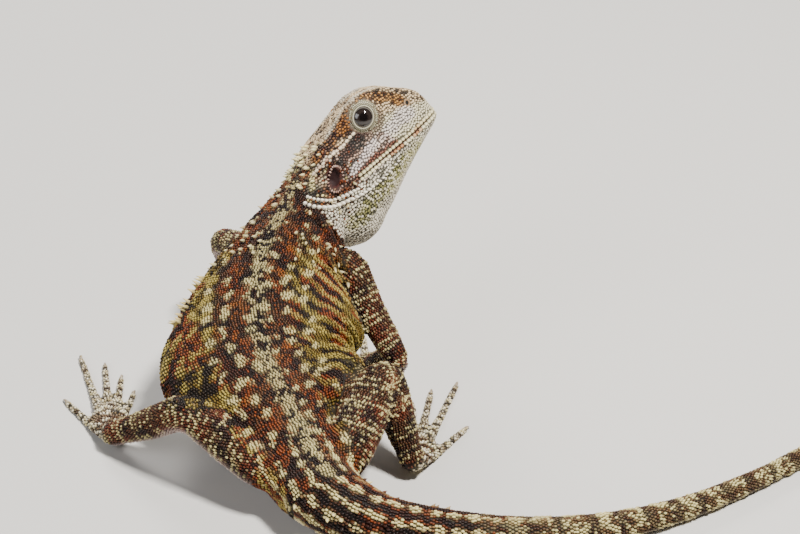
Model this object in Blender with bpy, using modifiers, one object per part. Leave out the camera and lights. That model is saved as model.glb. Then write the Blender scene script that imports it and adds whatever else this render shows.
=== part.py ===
"""A young bearded dragon, life size: it sits with its chest raised on its forelegs and looks
back over its right shoulder.

The shapes are worked out in millimetres and turned into metres in the last step. +Y is the way
the trunk heads, +X is the animal's right and +Z is up. The origin is on the floor, under the
middle of the whole animal.
"""
import math

import bmesh
import bpy
import numpy as np
from mathutils import Matrix, Vector

MM = 0.001                  # one millimetre in metres
GAP = 0.3                   # clear width of the thin cuts between neighbouring parts
FLOOR_DEPTH = 20.0          # how far the block that cuts the flats reaches below the floor
BODY_VOXEL = 0.5            # grid on which trunk, neck, head and tail are melted into one body
LIMB_VOXEL = 0.4
FOOT_VOXEL = 0.26           # finer grid for the slender toes
BODY_TRIANGLES = 2150
LIMB_TRIANGLES = 230
FOOT_TRIANGLES = 360
LIMB_SIDES = 12
RING_POINTS = 40

# Trunk stations from tail root to nape: middle of the back (x, y, z), half width, depth, roll.
TRUNK = np.array([
    (2.4, -6.4, 12.6, 7.8, 13.2, 0.0),        # tail root
    (-0.4, 0.2, 14.4, 9.2, 14.8, 0.0),        # pelvis
    (-4.8, 9.0, 18.2, 12.3, 16.0, 2.0),       # loin
    (-9.4, 18.5, 22.7, 19.7, 17.0, 5.0),      # belly
    (-10.8, 28.0, 27.1, 17.5, 16.8, 9.0),     # ribs
    (-9.9, 36.0, 31.5, 13.1, 15.4, 12.0),     # chest
    (-6.9, 42.5, 36.3, 10.1, 13.9, 15.0),     # shoulders
    (-3.7, 47.2, 40.8, 7.9, 13.0, 20.0),      # neck
    (-0.8, 51.0, 44.9, 7.4, 12.4, 25.0),      # nape
    (4.2, 55.0, 46.8, 6.4, 11.2, 27.0),       # inside the back of the head
])
BACK_SHARE = 0.52           # share of the depth that lies above a section's middle
GROIN = ((4.4, 18.2, 14.6), (5.9, 8.4, 5.3))      # fold of the right flank over the knee: place, radii

# Tail stations: middle line on the floor plan (x, y) and radius. It lies on the floor.
TAIL = np.array([
    (0.6, -4.4, 7.4), (7.9, -10.3, 6.1), (17.0, -12.8, 4.8), (34.5, -13.6, 3.6), (52.0, -11.2, 2.9),
    (70.0, -3.8, 2.25), (90.0, 9.5, 1.8), (106.0, 24.0, 1.3), (117.0, 38.0, 0.7),
])
TAIL_SINK = 0.25            # how deep the tail's round underside is flattened by the floor
TAIL_CUTS = (1.7, 3.0, 4.4, 5.9)
TAIL_FLATNESS = 0.95
TAIL_SIDES = 12

# The head's own frame: it points along yaw (from +Y to +X) and pitch, and rolls its right side up.
HEAD_YAW, HEAD_PITCH, HEAD_ROLL = 58.0, 26.0, 27.0
MUZZLE_TIP = np.array((22.7, 64.0, 46.7))     # front of the mouth
# Head stations: distance behind the tip, crown and jaw heights over the mouth line, half width at
# the brow and at the mouth.
HEAD = np.array([
    (-0.5, 2.4, -0.2, 0.5, 0.9),
    (0.0, 4.8, -1.1, 1.7, 2.4),
    (1.2, 6.8, -1.8, 2.3, 3.5),
    (3.6, 8.9, -2.6, 2.9, 4.5),
    (6.2, 11.2, -3.6, 3.9, 5.5),
    (9.0, 12.5, -4.7, 5.0, 6.5),
    (12.5, 12.7, -6.3, 5.6, 7.5),
    (16.5, 11.8, -8.4, 5.7, 8.6),
    (20.5, 10.8, -10.1, 5.8, 9.6),
    (24.5, 9.8, -11.2, 6.0, 10.1),
    (27.6, 8.7, -10.6, 5.8, 9.6),
    (30.2, 7.1, -8.4, 4.6, 8.0),
])
POUCH = ((25.2, 0.0, -4.4), (7.9, 8.8, 7.5))      # centre (behind, right, up) and radii
CHEEK = ((21.5, 6.0, 2.2), (5.4, 4.0, 4.3))       # jaw muscle in front of and below the ear
EYE_AT = (12.9, 4.75, 9.1)
EYE_RADIUS = 2.75
LID_AT = (12.9, 4.3, 9.1)
LID_RADII = (3.6, 2.9, 3.4)
EAR_AT, EAR_RADII = (25.2, 11.0, 4.4), (1.35, 1.5, 2.1)
NOSTRIL_AT, NOSTRIL_RADIUS = (3.7, 3.9, 5.6), 0.6
MOUTH_RISE = 0.06           # how much the mouth line rises for each step backwards
JAW_LENGTH = 20.5
NECK_CUT, BEARD_CUT = 27.4, 33.0
BEARD_TURN = math.radians(17.0)

# Joints of the limbs: shoulder, elbow, wrist and hip, knee, ankle.
RIGHT_ARM = ((6.0, 38.6, 27.0), (15.8, 26.4, 13.0), (9.8, 40.0, 3.0))
LEFT_ARM = ((-11.5, 45.5, 26.0), (-19.6, 59.0, 19.4), (-17.5, 67.0, 3.0))
RIGHT_LEG = ((5.6, 2.4, 8.8), (13.4, 15.6, 16.6), (18.9, 7.4, 3.0))
LEFT_LEG = ((-8.0, -0.4, 8.6), (-23.0, 8.1, 14.0), (-38.8, 16.4, 3.0))
# Limb radii: inside the trunk, at the first joint, midway, at the bend, midway, at the end.
ARM_RADII = (3.8, 3.5, 3.0, 2.6, 2.5, 1.8)
RIGHT_LEG_RADII = (5.4, 5.2, 4.9, 3.8, 3.3, 2.2)
LEFT_LEG_RADII = (5.2, 4.8, 4.2, 3.5, 3.1, 2.2)
CHEST_AT, HIPS_AT = 5.3, 1.1         # trunk stations from which the limbs grow
WRIST_CUT = 0.84                     # share of the lower length above the wrist or ankle cut

# Toes from the first to the fifth: how far the tip is from the ankle, and its turn outwards.
HIND_TOES = ((16.5, -18.0), (21.5, -8.0), (26.0, 0.0), (29.5, 9.0), (17.0, 28.0))
FORE_TOES = ((8.0, -48.0), (10.5, -24.0), (11.5, 0.0), (11.0, 24.0), (8.5, 50.0))
RIGHT_FOOT_YAW, LEFT_FOOT_YAW = 8.0, -9.0
RIGHT_HAND_YAW, LEFT_HAND_YAW = -4.0, 4.0
TOE_RADIUS = 0.68
PALM_SHARE = 0.26                    # where the palm's middle is on the way to the third toe's tip
PALM_RADII = (0.21, 0.135, 0.062)    # along, across and up, for each unit of the third toe's length
CLAW_LENGTH, CLAW_DROP, CLAW_TIP = 1.6, 0.2, 0.34


def unit(vector):
    """The vector at length one."""
    vector = np.asarray(vector, float)
    return vector / np.linalg.norm(vector)


def smooth(rows, at):
    """Rows read at fractional positions, on a cubic curve that passes through each row."""
    rows = np.asarray(rows, float)
    slopes = np.gradient(rows, axis=0)
    low = np.clip(np.floor(at).astype(int), 0, len(rows) - 2)
    t = (np.asarray(at, float) - low)[:, None]
    a, b, start, end = rows[low], rows[low + 1], slopes[low], slopes[low + 1]
    return ((2 * t**3 - 3 * t**2 + 1) * a + (t**3 - 2 * t**2 + t) * start
            + (3 * t**2 - 2 * t**3) * b + (t**3 - t**2) * end)


def head_axes():
    """The head's forward, right and up directions."""
    yaw, pitch, roll = (math.radians(angle) for angle in (HEAD_YAW, HEAD_PITCH, HEAD_ROLL))
    forward = np.array((math.sin(yaw) * math.cos(pitch), math.cos(yaw) * math.cos(pitch),
                        math.sin(pitch)))
    side = unit(np.cross(forward, (0, 0, 1)))
    top = np.cross(side, forward)
    right = side * math.cos(roll) + top * math.sin(roll)
    return forward, right, np.cross(right, forward)


def in_head(places):
    """Places given as (behind the muzzle tip, right, up), in the animal's own frame."""
    forward, right, top = head_axes()
    places = np.atleast_2d(np.asarray(places, float))
    return MUZZLE_TIP - places[:, :1] * forward + places[:, 1:2] * right + places[:, 2:] * top


def mesh_object(name, points, faces):
    """A closed mesh from points and faces, with its faces turned outwards."""
    mesh = bpy.data.meshes.new(name)
    mesh.from_pydata([tuple(point) for point in points], [], faces)
    work = bmesh.new()
    work.from_mesh(mesh)
    bmesh.ops.recalc_face_normals(work, faces=work.faces)
    work.to_mesh(mesh)
    work.free()
    thing = bpy.data.objects.new(name, mesh)
    bpy.context.scene.collection.objects.link(thing)
    return thing


def loft(name, rings):
    """Rings of equal length joined by strips of faces, with both ends closed."""
    rings = np.asarray(rings, float)
    count, around = rings.shape[:2]
    faces = [(i * around + j, i * around + (j + 1) % around,
              (i + 1) * around + (j + 1) % around, (i + 1) * around + j)
             for i in range(count - 1) for j in range(around)]
    faces.append(tuple(range(around)))
    faces.append(tuple((count - 1) * around + j for j in range(around)))
    return mesh_object(name, rings.reshape(-1, 3), faces)


def cross_axes(path):
    """Level side direction and upward direction of the section at each point of a path."""
    along = np.gradient(path, axis=0)
    along /= np.linalg.norm(along, axis=1)[:, None]
    side = np.cross(along, (0, 0, 1))
    side /= np.linalg.norm(side, axis=1)[:, None]
    return along, side, np.cross(side, along)


def tube(name, path, radii, sides=LIMB_SIDES, flatness=1.0):
    """A round tube along a path, with rounded ends, its height flatness times its width."""
    path, radii = np.asarray(path, float), np.asarray(radii, float)
    along, side, top = cross_axes(path)
    path = np.vstack([path[0] - along[0] * radii[0] * 0.6, path, path[-1] + along[-1] * radii[-1] * 0.6])
    side, top = np.vstack([side[0], side, side[-1]]), np.vstack([top[0], top, top[-1]])
    radii = np.concatenate([[radii[0] * 0.55], radii, [radii[-1] * 0.55]])
    turn = np.linspace(0, 2 * np.pi, sides, endpoint=False)
    rings = (path[:, None] + radii[:, None, None] * (np.cos(turn)[None, :, None] * side[:, None]
             + flatness * np.sin(turn)[None, :, None] * top[:, None]))
    return loft(name, rings)


def ball(name, centre, radii, axes=None, rings=10, around=16):
    """A closed ellipsoid with its radii along three axes."""
    work = bmesh.new()
    bmesh.ops.create_uvsphere(work, u_segments=around, v_segments=rings, radius=1.0)
    axes = np.eye(3) if axes is None else np.asarray(axes)
    turn = Matrix((axes * np.asarray(radii)[:, None]).T.tolist()).to_4x4()
    bmesh.ops.transform(work, matrix=Matrix.Translation(Vector(centre)) @ turn, verts=work.verts)
    bmesh.ops.recalc_face_normals(work, faces=work.faces)
    mesh = bpy.data.meshes.new(name)
    work.to_mesh(mesh)
    work.free()
    thing = bpy.data.objects.new(name, mesh)
    bpy.context.scene.collection.objects.link(thing)
    return thing


def head_ball(name, place, radii, rings=10, around=16):
    """An ellipsoid placed in the head's frame, its radii along behind, right and up."""
    forward, right, top = head_axes()
    return ball(name, in_head(place)[0], radii, (-forward, right, top), rings, around)


def mirrored(place):
    """The same place on the head's other side."""
    return (place[0], -place[1], place[2])


def trunk_rings(rows, grow=1.0):
    """Sections of the trunk: wide ovals hung under the middle of the back and rolled."""
    along, side, top = cross_axes(rows[:, :3])
    roll = np.radians(rows[:, 5])[:, None]
    across = side * np.cos(roll) + top * np.sin(roll)
    upward = top * np.cos(roll) - side * np.sin(roll)
    half, depth = rows[:, 3], rows[:, 4]
    centre = rows[:, :3] - upward * (BACK_SHARE * depth)[:, None]
    turn = np.linspace(0, 2 * np.pi, RING_POINTS, endpoint=False)
    flat = np.sign(np.cos(turn)) * np.abs(np.cos(turn)) ** 0.9
    high = np.sign(np.sin(turn)) * np.abs(np.sin(turn)) ** 0.95
    high = high * np.where(high > 0, BACK_SHARE, 1 - BACK_SHARE)
    return (centre[:, None] + grow * (flat[None, :, None] * (across * half[:, None])[:, None]
            + high[None, :, None] * (upward * depth[:, None])[:, None]))


def tail_path(at):
    """Middle line and radius of the tail at fractional stations."""
    rows = smooth(TAIL, at)
    radii = rows[:, 2]
    return np.column_stack([rows[:, :2], radii - TAIL_SINK]), radii


def head_rings(rows):
    """Sections of the head: crown, brow edge, cheek, lip, jaw and throat, left side mirrored."""
    behind, crown, jaw, brow, mouth = (rows[:, k] for k in range(5))
    half = [(0 * brow, crown), (0.55 * brow, crown + 0.05), (brow, crown - 0.5),
            (brow + 0.35 * (mouth - brow), 0.62 * crown), (0.97 * mouth, 0.28 * crown),
            (mouth, 0.5 + 0 * brow), (0.97 * mouth, 0.25 * jaw), (0.80 * mouth, 0.62 * jaw),
            (0.42 * mouth, 0.93 * jaw), (0 * brow, jaw)]
    outline = half + [(-x, y) for x, y in half[-2:0:-1]]
    closed = np.array([outline[k % len(outline)] for k in range(-2, len(outline) + 3)])
    at = 2 + np.arange(RING_POINTS) * len(outline) / RING_POINTS
    rings = []
    for k in range(len(rows)):
        flat = smooth(closed[:, :, k], at)
        rings.append(in_head(np.column_stack([np.full(RING_POINTS, behind[k]), flat])))
    return rings


def applied(thing):
    """The object with its modifiers worked into its mesh."""
    bpy.context.view_layer.update()
    shown = thing.evaluated_get(bpy.context.evaluated_depsgraph_get())
    mesh = bpy.data.meshes.new_from_object(shown)
    thing.modifiers.clear()
    thing.data = mesh
    return thing


def melted(name, things, voxel, triangles, rounds=3):
    """Closed shapes melted into one skin on a fine grid, smoothed and thinned."""
    work = bmesh.new()
    for thing in things:
        work.from_mesh(thing.data)
        bpy.data.objects.remove(thing)
    mesh = bpy.data.meshes.new(name)
    work.to_mesh(mesh)
    work.free()
    whole = bpy.data.objects.new(name, mesh)
    bpy.context.scene.collection.objects.link(whole)
    remesh = whole.modifiers.new("melt", "REMESH")
    remesh.mode = "VOXEL"
    remesh.voxel_size = voxel
    remesh.adaptivity = 0.0
    relax = whole.modifiers.new("relax", "SMOOTH")
    relax.factor = 0.5
    relax.iterations = rounds
    applied(whole)
    whole.data.calc_loop_triangles()
    thin = whole.modifiers.new("thin", "DECIMATE")
    thin.ratio = triangles / len(whole.data.loop_triangles)
    return applied(whole)


def cut(thing, cutters, keep=False):
    """The object less each cutter in turn; the cutters go, unless they are kept."""
    for cutter in cutters:
        change = thing.modifiers.new("cut", "BOOLEAN")
        change.operation = "DIFFERENCE"
        change.solver = "EXACT"
        change.object = cutter
        applied(thing)
        if not keep:
            bpy.data.objects.remove(cutter)
    return thing


def block(name, centre, axes, sizes):
    """A closed box with its sizes along three axes."""
    work = bmesh.new()
    bmesh.ops.create_cube(work, size=1.0)
    turn = Matrix((np.asarray(axes) * np.asarray(sizes)[:, None]).T.tolist()).to_4x4()
    bmesh.ops.transform(work, matrix=Matrix.Translation(Vector(centre)) @ turn, verts=work.verts)
    bmesh.ops.recalc_face_normals(work, faces=work.faces)
    mesh = bpy.data.meshes.new(name)
    work.to_mesh(mesh)
    work.free()
    thing = bpy.data.objects.new(name, mesh)
    bpy.context.scene.collection.objects.link(thing)
    return thing


def floor_block():
    """A wide block whose top is the floor."""
    return block("floor_block", (30, 25, -FLOOR_DEPTH / 2), np.eye(3), (400, 300, FLOOR_DEPTH))


def disc(name, centre, normal, radius, thickness=GAP):
    """A thin round cutter square to a direction."""
    work = bmesh.new()
    bmesh.ops.create_cone(work, cap_ends=True, segments=24, radius1=radius, radius2=radius,
                          depth=thickness)
    turn = Vector(unit(normal)).to_track_quat("Z", "Y").to_matrix().to_4x4()
    bmesh.ops.transform(work, matrix=Matrix.Translation(Vector(centre)) @ turn, verts=work.verts)
    mesh = bpy.data.meshes.new(name)
    work.to_mesh(mesh)
    work.free()
    thing = bpy.data.objects.new(name, mesh)
    bpy.context.scene.collection.objects.link(thing)
    return thing


def head_slab(name, start, end, half_width, turn=0.0):
    """A thin cutter across the head from start to end, both (behind, up), turned about up."""
    forward, right, top = head_axes()
    ahead = forward * math.cos(turn) - right * math.sin(turn)
    across = right * math.cos(turn) + forward * math.sin(turn)
    run = np.subtract(end, start)
    length = np.linalg.norm(run)
    direction = unit(-run[0] * ahead + run[1] * top)
    middle = in_head((end[0], 0, end[1]))[0] - direction * length / 2
    return block(name, middle, (direction, across, np.cross(direction, across)),
                 (length + GAP, 2 * half_width, GAP))


def trunk_cut(name, at, grow=1.15):
    """A thin cutter in the trunk's own section at a fractional station."""
    rows = smooth(TRUNK, np.array([at - 0.05, at, at + 0.05]))
    along = cross_axes(rows[:, :3])[0][1]
    ring = trunk_rings(rows, grow)[1]
    return loft(name, [ring[::2] - along * GAP / 2, ring[::2] + along * GAP / 2])


def plane_cut(name, at, size):
    """A thin square cutter across the trunk at a fractional station."""
    along, side, top = (axis[1] for axis in
                        cross_axes(smooth(TRUNK, np.array([at - 0.05, at, at + 0.05]))[:, :3]))
    return block(name, section_middle(at), (along, side, top), (GAP, size, size))


def tail_cut(name, at):
    """A thin cutter across the tail at a fractional station."""
    path, radii = tail_path(np.array([at - 0.05, at, at + 0.05]))
    return disc(name, path[1], path[2] - path[0], radii[1] * 1.6)


def make_body():
    """Trunk, neck, head, throat pouch and tail base as one skin, with its flats and hollows."""
    at = np.linspace(0, len(TRUNK) - 1, 46)
    pieces = [loft("trunk", trunk_rings(smooth(TRUNK, at)))]
    path, radii = tail_path(np.linspace(0, TAIL_CUTS[0] + 0.3, 20))
    pieces.append(tube("tail_base", path, radii, sides=20, flatness=TAIL_FLATNESS))
    pieces.append(loft("skull", head_rings(smooth(HEAD, np.linspace(0, len(HEAD) - 1, 40)))))
    pieces.append(ball("groin", *GROIN, rings=12, around=20))
    pieces.append(head_ball("pouch", *POUCH, rings=16, around=24))
    for place in (CHEEK[0], mirrored(CHEEK[0])):
        pieces.append(head_ball("cheek", place, CHEEK[1]))
    for place in (LID_AT, mirrored(LID_AT)):
        pieces.append(head_ball("lid", place, LID_RADII))
    body = melted("body", pieces, BODY_VOXEL, BODY_TRIANGLES)
    hollows = [floor_block()]
    for place in (EYE_AT, mirrored(EYE_AT)):
        hollows.append(head_ball("socket", place, (EYE_RADIUS + GAP,) * 3, rings=10, around=16))
    for place in (EAR_AT, mirrored(EAR_AT)):
        hollows.append(head_ball("ear_hollow", place, EAR_RADII, rings=8, around=12))
    for place in (NOSTRIL_AT, mirrored(NOSTRIL_AT)):
        hollows.append(head_ball("nostril", place, (NOSTRIL_RADIUS,) * 3, rings=6, around=8))
    return cut(body, hollows)


def mouth_height(behind):
    """Height of the mouth line over the muzzle tip."""
    return MOUTH_RISE * behind


def body_cutters():
    """The thin cutters that part the body into head, jaw, beard, neck, trunk and tail lengths."""
    cutters = [head_slab("cut_mouth", (-4.0, mouth_height(-4.0)),
                         (BEARD_CUT, mouth_height(BEARD_CUT)), 18.0, BEARD_TURN)]
    cutters.append(head_slab("cut_jaw", (JAW_LENGTH, mouth_height(JAW_LENGTH)),
                             (JAW_LENGTH - 6.0, -14.0), 13.0))
    cutters.append(head_slab("cut_neck", (NECK_CUT, mouth_height(NECK_CUT)), (NECK_CUT, 14.0), 12.0))
    cutters.append(head_slab("cut_beard", (BEARD_CUT, mouth_height(BEARD_CUT)),
                             (BEARD_CUT, -13.0), 16.0, BEARD_TURN))
    cutters += [trunk_cut("cut_shoulders", 5.9, 1.45), tail_cut("cut_tail", TAIL_CUTS[0]),
                trunk_cut("cut_tail_root", 0.35), trunk_cut("cut_ribs", 4.1),
                plane_cut("cut_loin", 1.9, 60.0)]
    return cutters


def section_middle(at):
    """A point near the middle of the trunk's section at a fractional station."""
    row = smooth(TRUNK, np.array([at]))[0]
    return row[:3] - (0, 0, row[4] * 0.5)


def body_seeds():
    """A point inside each part of the body, by the part's name."""
    seeds = {"pelvis": section_middle(1.1), "belly": section_middle(3.0),
             "chest": section_middle(5.2), "neck": section_middle(7.1),
             "head": in_head((14.0, 0, 6.0))[0], "lower_jaw": in_head((9.0, 0, -1.5))[0],
             "beard": in_head((25.0, 0, -4.0))[0]}
    seeds["tail_1"] = tail_path(np.array([TAIL_CUTS[0] / 2]))[0][0]
    seeds["tail_end"] = tail_path(np.array([TAIL_CUTS[0] + 0.3]))[0][0]
    return seeds


def loose_parts(thing):
    """The separate closed bodies inside one mesh, each as points and faces."""
    work = bmesh.new()
    work.from_mesh(thing.data)
    bmesh.ops.triangulate(work, faces=work.faces)
    work.verts.ensure_lookup_table()
    seen = set()
    parts = []
    for first in work.verts:
        if first.index in seen:
            continue
        seen.add(first.index)
        group = [first]
        for vert in group:
            for edge in vert.link_edges:
                other = edge.other_vert(vert)
                if other.index not in seen:
                    seen.add(other.index)
                    group.append(other)
        order = {vert.index: k for k, vert in enumerate(group)}
        faces = {face for vert in group for face in vert.link_faces}
        faces = sorted(faces, key=lambda face: face.index)
        parts.append((np.array([vert.co for vert in group]),
                      [tuple(order[vert.index] for vert in face.verts) for face in faces]))
    work.free()
    return parts


def boxes_meet(one, other):
    """Whether the boxes round two objects overlap."""
    places = [np.array([vert.co for vert in thing.data.vertices]) for thing in (one, other)]
    (low, high), (other_low, other_high) = [(p.min(axis=0), p.max(axis=0)) for p in places]
    return bool(np.all(low < other_high) and np.all(other_low < high))


def parted(thing, cutters):
    """The loose parts that the cutters leave. Each cutter works on one part at a time."""
    parts = [thing]
    for cutter in cutters:
        left = []
        for part in parts:
            if boxes_meet(part, cutter):
                cut(part, [cutter], keep=True)
                left += [mesh_object("part", *found) for found in loose_parts(part)]
                bpy.data.objects.remove(part)
            else:
                left.append(part)
        bpy.data.objects.remove(cutter)
        parts = left
    return parts


def named_parts(parts, seeds):
    """The parts by name, each named after the seed nearest to its middle."""
    nodes = {}
    for part in parts:
        points = np.array([vert.co for vert in part.data.vertices])
        middle = (points.min(axis=0) + points.max(axis=0)) / 2
        name = min(seeds, key=lambda key: np.linalg.norm(seeds[key] - middle))
        assert name not in nodes, name
        nodes[name] = part
    assert set(nodes) == set(seeds), set(seeds) - set(nodes)
    return nodes


def largest(thing, name):
    """The largest loose part of the thing, without any crumbs that a cut left."""
    points, faces = max(loose_parts(thing), key=lambda part: len(part[0]))
    bpy.data.objects.remove(thing)
    return mesh_object(name, points, faces)


def copied(thing, name):
    """A second object with its own copy of the mesh."""
    twin = bpy.data.objects.new(name, thing.data.copy())
    bpy.context.scene.collection.objects.link(twin)
    return twin


def grown(thing, name, amount):
    """A copy whose surface stands out by an amount all over."""
    twin = copied(thing, name)
    swell = twin.modifiers.new("swell", "DISPLACE")
    swell.strength = amount
    swell.mid_level = 0.0
    return applied(twin)


def trimmed(thing, point, direction, reach=60.0):
    """The object without what lies within reach beyond a plane through the point."""
    direction = unit(direction)
    across = unit(np.cross(direction, (0.3, 0.2, 1.0)))
    far = block("far_side", np.asarray(point) + direction * reach / 2,
                (direction, across, np.cross(direction, across)), (reach, 2 * reach, 2 * reach))
    return cut(thing, [far])


def limb_path(joints, radii, grows_from):
    """Stations of a limb from inside the trunk to its end: place and radius."""
    first, bend, end = (np.array(joint) for joint in joints)
    root = first + 0.6 * (section_middle(grows_from) - first)
    places = (root, first, (first + bend) / 2, bend, (bend + end) / 2, end)
    return np.array([np.append(place, radius) for place, radius in zip(places, radii)])


def make_limb(names, joints, radii, grows_from, clearance):
    """The upper and lower length of a limb, clear of the trunk and parted at the bend."""
    rows = smooth(limb_path(joints, radii, grows_from), np.linspace(0, 5, 26))
    whole = melted("limb", [tube("limb_tube", rows[:, :3], rows[:, 3])], LIMB_VOXEL, LIMB_TRIANGLES)
    cut(whole, [clearance], keep=True)
    first, bend, end = (np.array(joint) for joint in joints)
    bisector = unit(unit(bend - first) + unit(end - bend))
    wrist = bend + (end - bend) * WRIST_CUT
    upper = trimmed(copied(whole, names[0]), bend - bisector * GAP / 2, bisector)
    lower = trimmed(whole, bend + bisector * GAP / 2, -bisector)
    lower = trimmed(lower, wrist - unit(end - bend) * GAP / 2, end - bend)
    return {name: largest(piece, name) for name, piece in zip(names, (upper, lower))}


def toe_path(ankle, length, turn, radius):
    """A toe from ankle to claw tip: over the arch, along the ground and down to the point."""
    heading = np.array((math.sin(turn), math.cos(turn), 0.0))
    shares = np.array((0.0, 0.22, 0.45, 0.7, 0.92, 1.0))
    heights = np.array((ankle[2], 0.58 * ankle[2], 0.8, 0.54, 0.4, 0.42))
    sizes = np.array((2.3, 1.9, 1.35, 1.0, 0.95, 0.8)) * radius
    path = ankle * (1, 1, 0) + heading * (shares * length)[:, None] + (0, 0, 1) * heights[:, None]
    rows = smooth(np.column_stack([path, sizes]), np.linspace(0, 5, 16))
    tip = rows[-1, :3] + heading * CLAW_LENGTH - (0, 0, CLAW_DROP)
    return np.vstack([rows, np.append(tip, CLAW_TIP)])


def make_foot(name, joints, radii, toes, yaw, outward):
    """A foot or hand with its five clawed toes as one piece, flat where it meets the floor."""
    bend, end = np.array(joints[1]), np.array(joints[2])
    pieces = [tube("ankle", [bend + (end - bend) * share for share in (0.7, 0.8, 0.9, 1.0)],
                   np.linspace(radii[5] * 1.25, radii[5], 4))]
    for length, turn in toes:
        rows = toe_path(end, length, math.radians(yaw + outward * turn), TOE_RADIUS)
        pieces.append(tube("toe", rows[:, :3], rows[:, 3], sides=10))
    turn, length = math.radians(yaw), toes[2][0]
    along = np.array((math.sin(turn), math.cos(turn), 0.0))
    across = np.array((math.cos(turn), -math.sin(turn), 0.0))
    middle = end * (1, 1, 0) + along * PALM_SHARE * length + (0, 0, PALM_RADII[2] * length * 0.8)
    pieces.append(ball("palm", middle, np.array(PALM_RADII) * length, (along, across, (0, 0, 1))))
    foot = melted(name, pieces, FOOT_VOXEL, FOOT_TRIANGLES, rounds=1)
    wrist = bend + (end - bend) * WRIST_CUT
    trimmed(foot, wrist + unit(end - bend) * GAP / 2, bend - end, reach=4.5)
    return {name: largest(cut(foot, [floor_block()]), name)}


def make_tail():
    """The tail behind its base, flattened where it lies on the floor and parted into lengths."""
    first, last = TAIL_CUTS[0], len(TAIL) - 1.0
    path, radii = tail_path(np.linspace(first - 0.2, last, 26))
    whole = tube("tail", path, radii, sides=TAIL_SIDES, flatness=TAIL_FLATNESS)
    parts = parted(whole, [floor_block()] + [tail_cut("cut_tail", at) for at in TAIL_CUTS])
    limits = TAIL_CUTS + (last,)
    seeds = {"tail_base": tail_path(np.array([first - 0.1]))[0][0]}
    for k in range(len(TAIL_CUTS)):
        middle = (limits[k] + limits[k + 1]) / 2
        seeds["tail_%d" % (k + 2)] = tail_path(np.array([middle]))[0][0]
    nodes = named_parts(parts, seeds)
    bpy.data.objects.remove(nodes.pop("tail_base"))
    return nodes


def make_eyes():
    """The two eyeballs in their sockets."""
    return {"eye_right": head_ball("eye_right", EYE_AT, (EYE_RADIUS,) * 3, rings=8, around=12),
            "eye_left": head_ball("eye_left", mirrored(EYE_AT), (EYE_RADIUS,) * 3, rings=8,
                                  around=12)}


def make_nodes():
    """Every named part of the animal, in millimetres."""
    body = make_body()
    clearance = grown(body, "clearance", GAP)
    nodes = named_parts(parted(body, body_cutters()), body_seeds())
    bpy.data.objects.remove(nodes.pop("tail_end"))
    nodes.update(make_tail())
    nodes.update(make_eyes())
    limbs = (("right", "upper_arm", "forearm", "hand", RIGHT_ARM, ARM_RADII, CHEST_AT, FORE_TOES,
              RIGHT_HAND_YAW, 1),
             ("left", "upper_arm", "forearm", "hand", LEFT_ARM, ARM_RADII, CHEST_AT, FORE_TOES,
              LEFT_HAND_YAW, -1),
             ("right", "thigh", "shank", "foot", RIGHT_LEG, RIGHT_LEG_RADII, HIPS_AT, HIND_TOES,
              RIGHT_FOOT_YAW, 1),
             ("left", "thigh", "shank", "foot", LEFT_LEG, LEFT_LEG_RADII, HIPS_AT, HIND_TOES,
              LEFT_FOOT_YAW, -1))
    for side, upper, lower, foot, joints, radii, grows_from, toes, yaw, outward in limbs:
        names = ("%s_%s" % (upper, side), "%s_%s" % (lower, side))
        nodes.update(make_limb(names, joints, radii, grows_from, clearance))
        nodes.update(make_foot("%s_%s" % (foot, side), joints, radii, toes, yaw, outward))
    bpy.data.objects.remove(clearance)
    return nodes


# Colour and roughness of each part, by the start of its name.
FINISHES = {
    "head": ((0.62, 0.50, 0.40), 0.55), "lower_jaw": ((0.74, 0.68, 0.58), 0.55),
    "beard": ((0.66, 0.64, 0.56), 0.6), "neck": ((0.52, 0.32, 0.20), 0.6),
    "chest": ((0.48, 0.26, 0.15), 0.6), "belly": ((0.46, 0.26, 0.15), 0.6),
    "pelvis": ((0.46, 0.28, 0.18), 0.6), "tail": ((0.48, 0.36, 0.27), 0.6),
    "eye": ((0.03, 0.02, 0.02), 0.08), "upper_arm": ((0.45, 0.27, 0.18), 0.6),
    "forearm": ((0.44, 0.32, 0.24), 0.6), "hand": ((0.66, 0.60, 0.52), 0.6),
    "thigh": ((0.47, 0.30, 0.20), 0.6), "shank": ((0.47, 0.33, 0.24), 0.6),
    "foot": ((0.66, 0.60, 0.52), 0.6),
}


def finished(thing, name):
    """The part with its own material, smooth shading and name."""
    colour, roughness = next(FINISHES[key] for key in FINISHES if name.startswith(key))
    material = bpy.data.materials.new(name)
    material.use_nodes = True
    shader = material.node_tree.nodes["Principled BSDF"]
    shader.inputs["Base Color"].default_value = (*colour, 1.0)
    shader.inputs["Roughness"].default_value = roughness
    thing.name = name
    thing.data.materials.clear()
    thing.data.materials.append(material)
    thing.data.shade_smooth()
    return thing


def main():
    for thing in list(bpy.data.objects):
        bpy.data.objects.remove(thing)
    nodes = make_nodes()
    corners = np.array([corner for thing in nodes.values() for corner in
                        (np.array([v.co for v in thing.data.vertices]).min(axis=0),
                         np.array([v.co for v in thing.data.vertices]).max(axis=0))])
    low, high = corners.min(axis=0), corners.max(axis=0)
    origin = np.array(((low[0] + high[0]) / 2, (low[1] + high[1]) / 2, 0.0))
    animal = bpy.data.collections.new("bearded_dragon")
    bpy.context.scene.collection.children.link(animal)
    for name, thing in nodes.items():
        thing.data.transform(Matrix.Scale(MM, 4) @ Matrix.Translation(Vector(-origin)))
        bpy.context.scene.collection.objects.unlink(thing)
        animal.objects.link(thing)
        finished(thing, name)
    print("low", low.round(2), "high", high.round(2), "origin", origin.round(2))


main()
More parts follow.
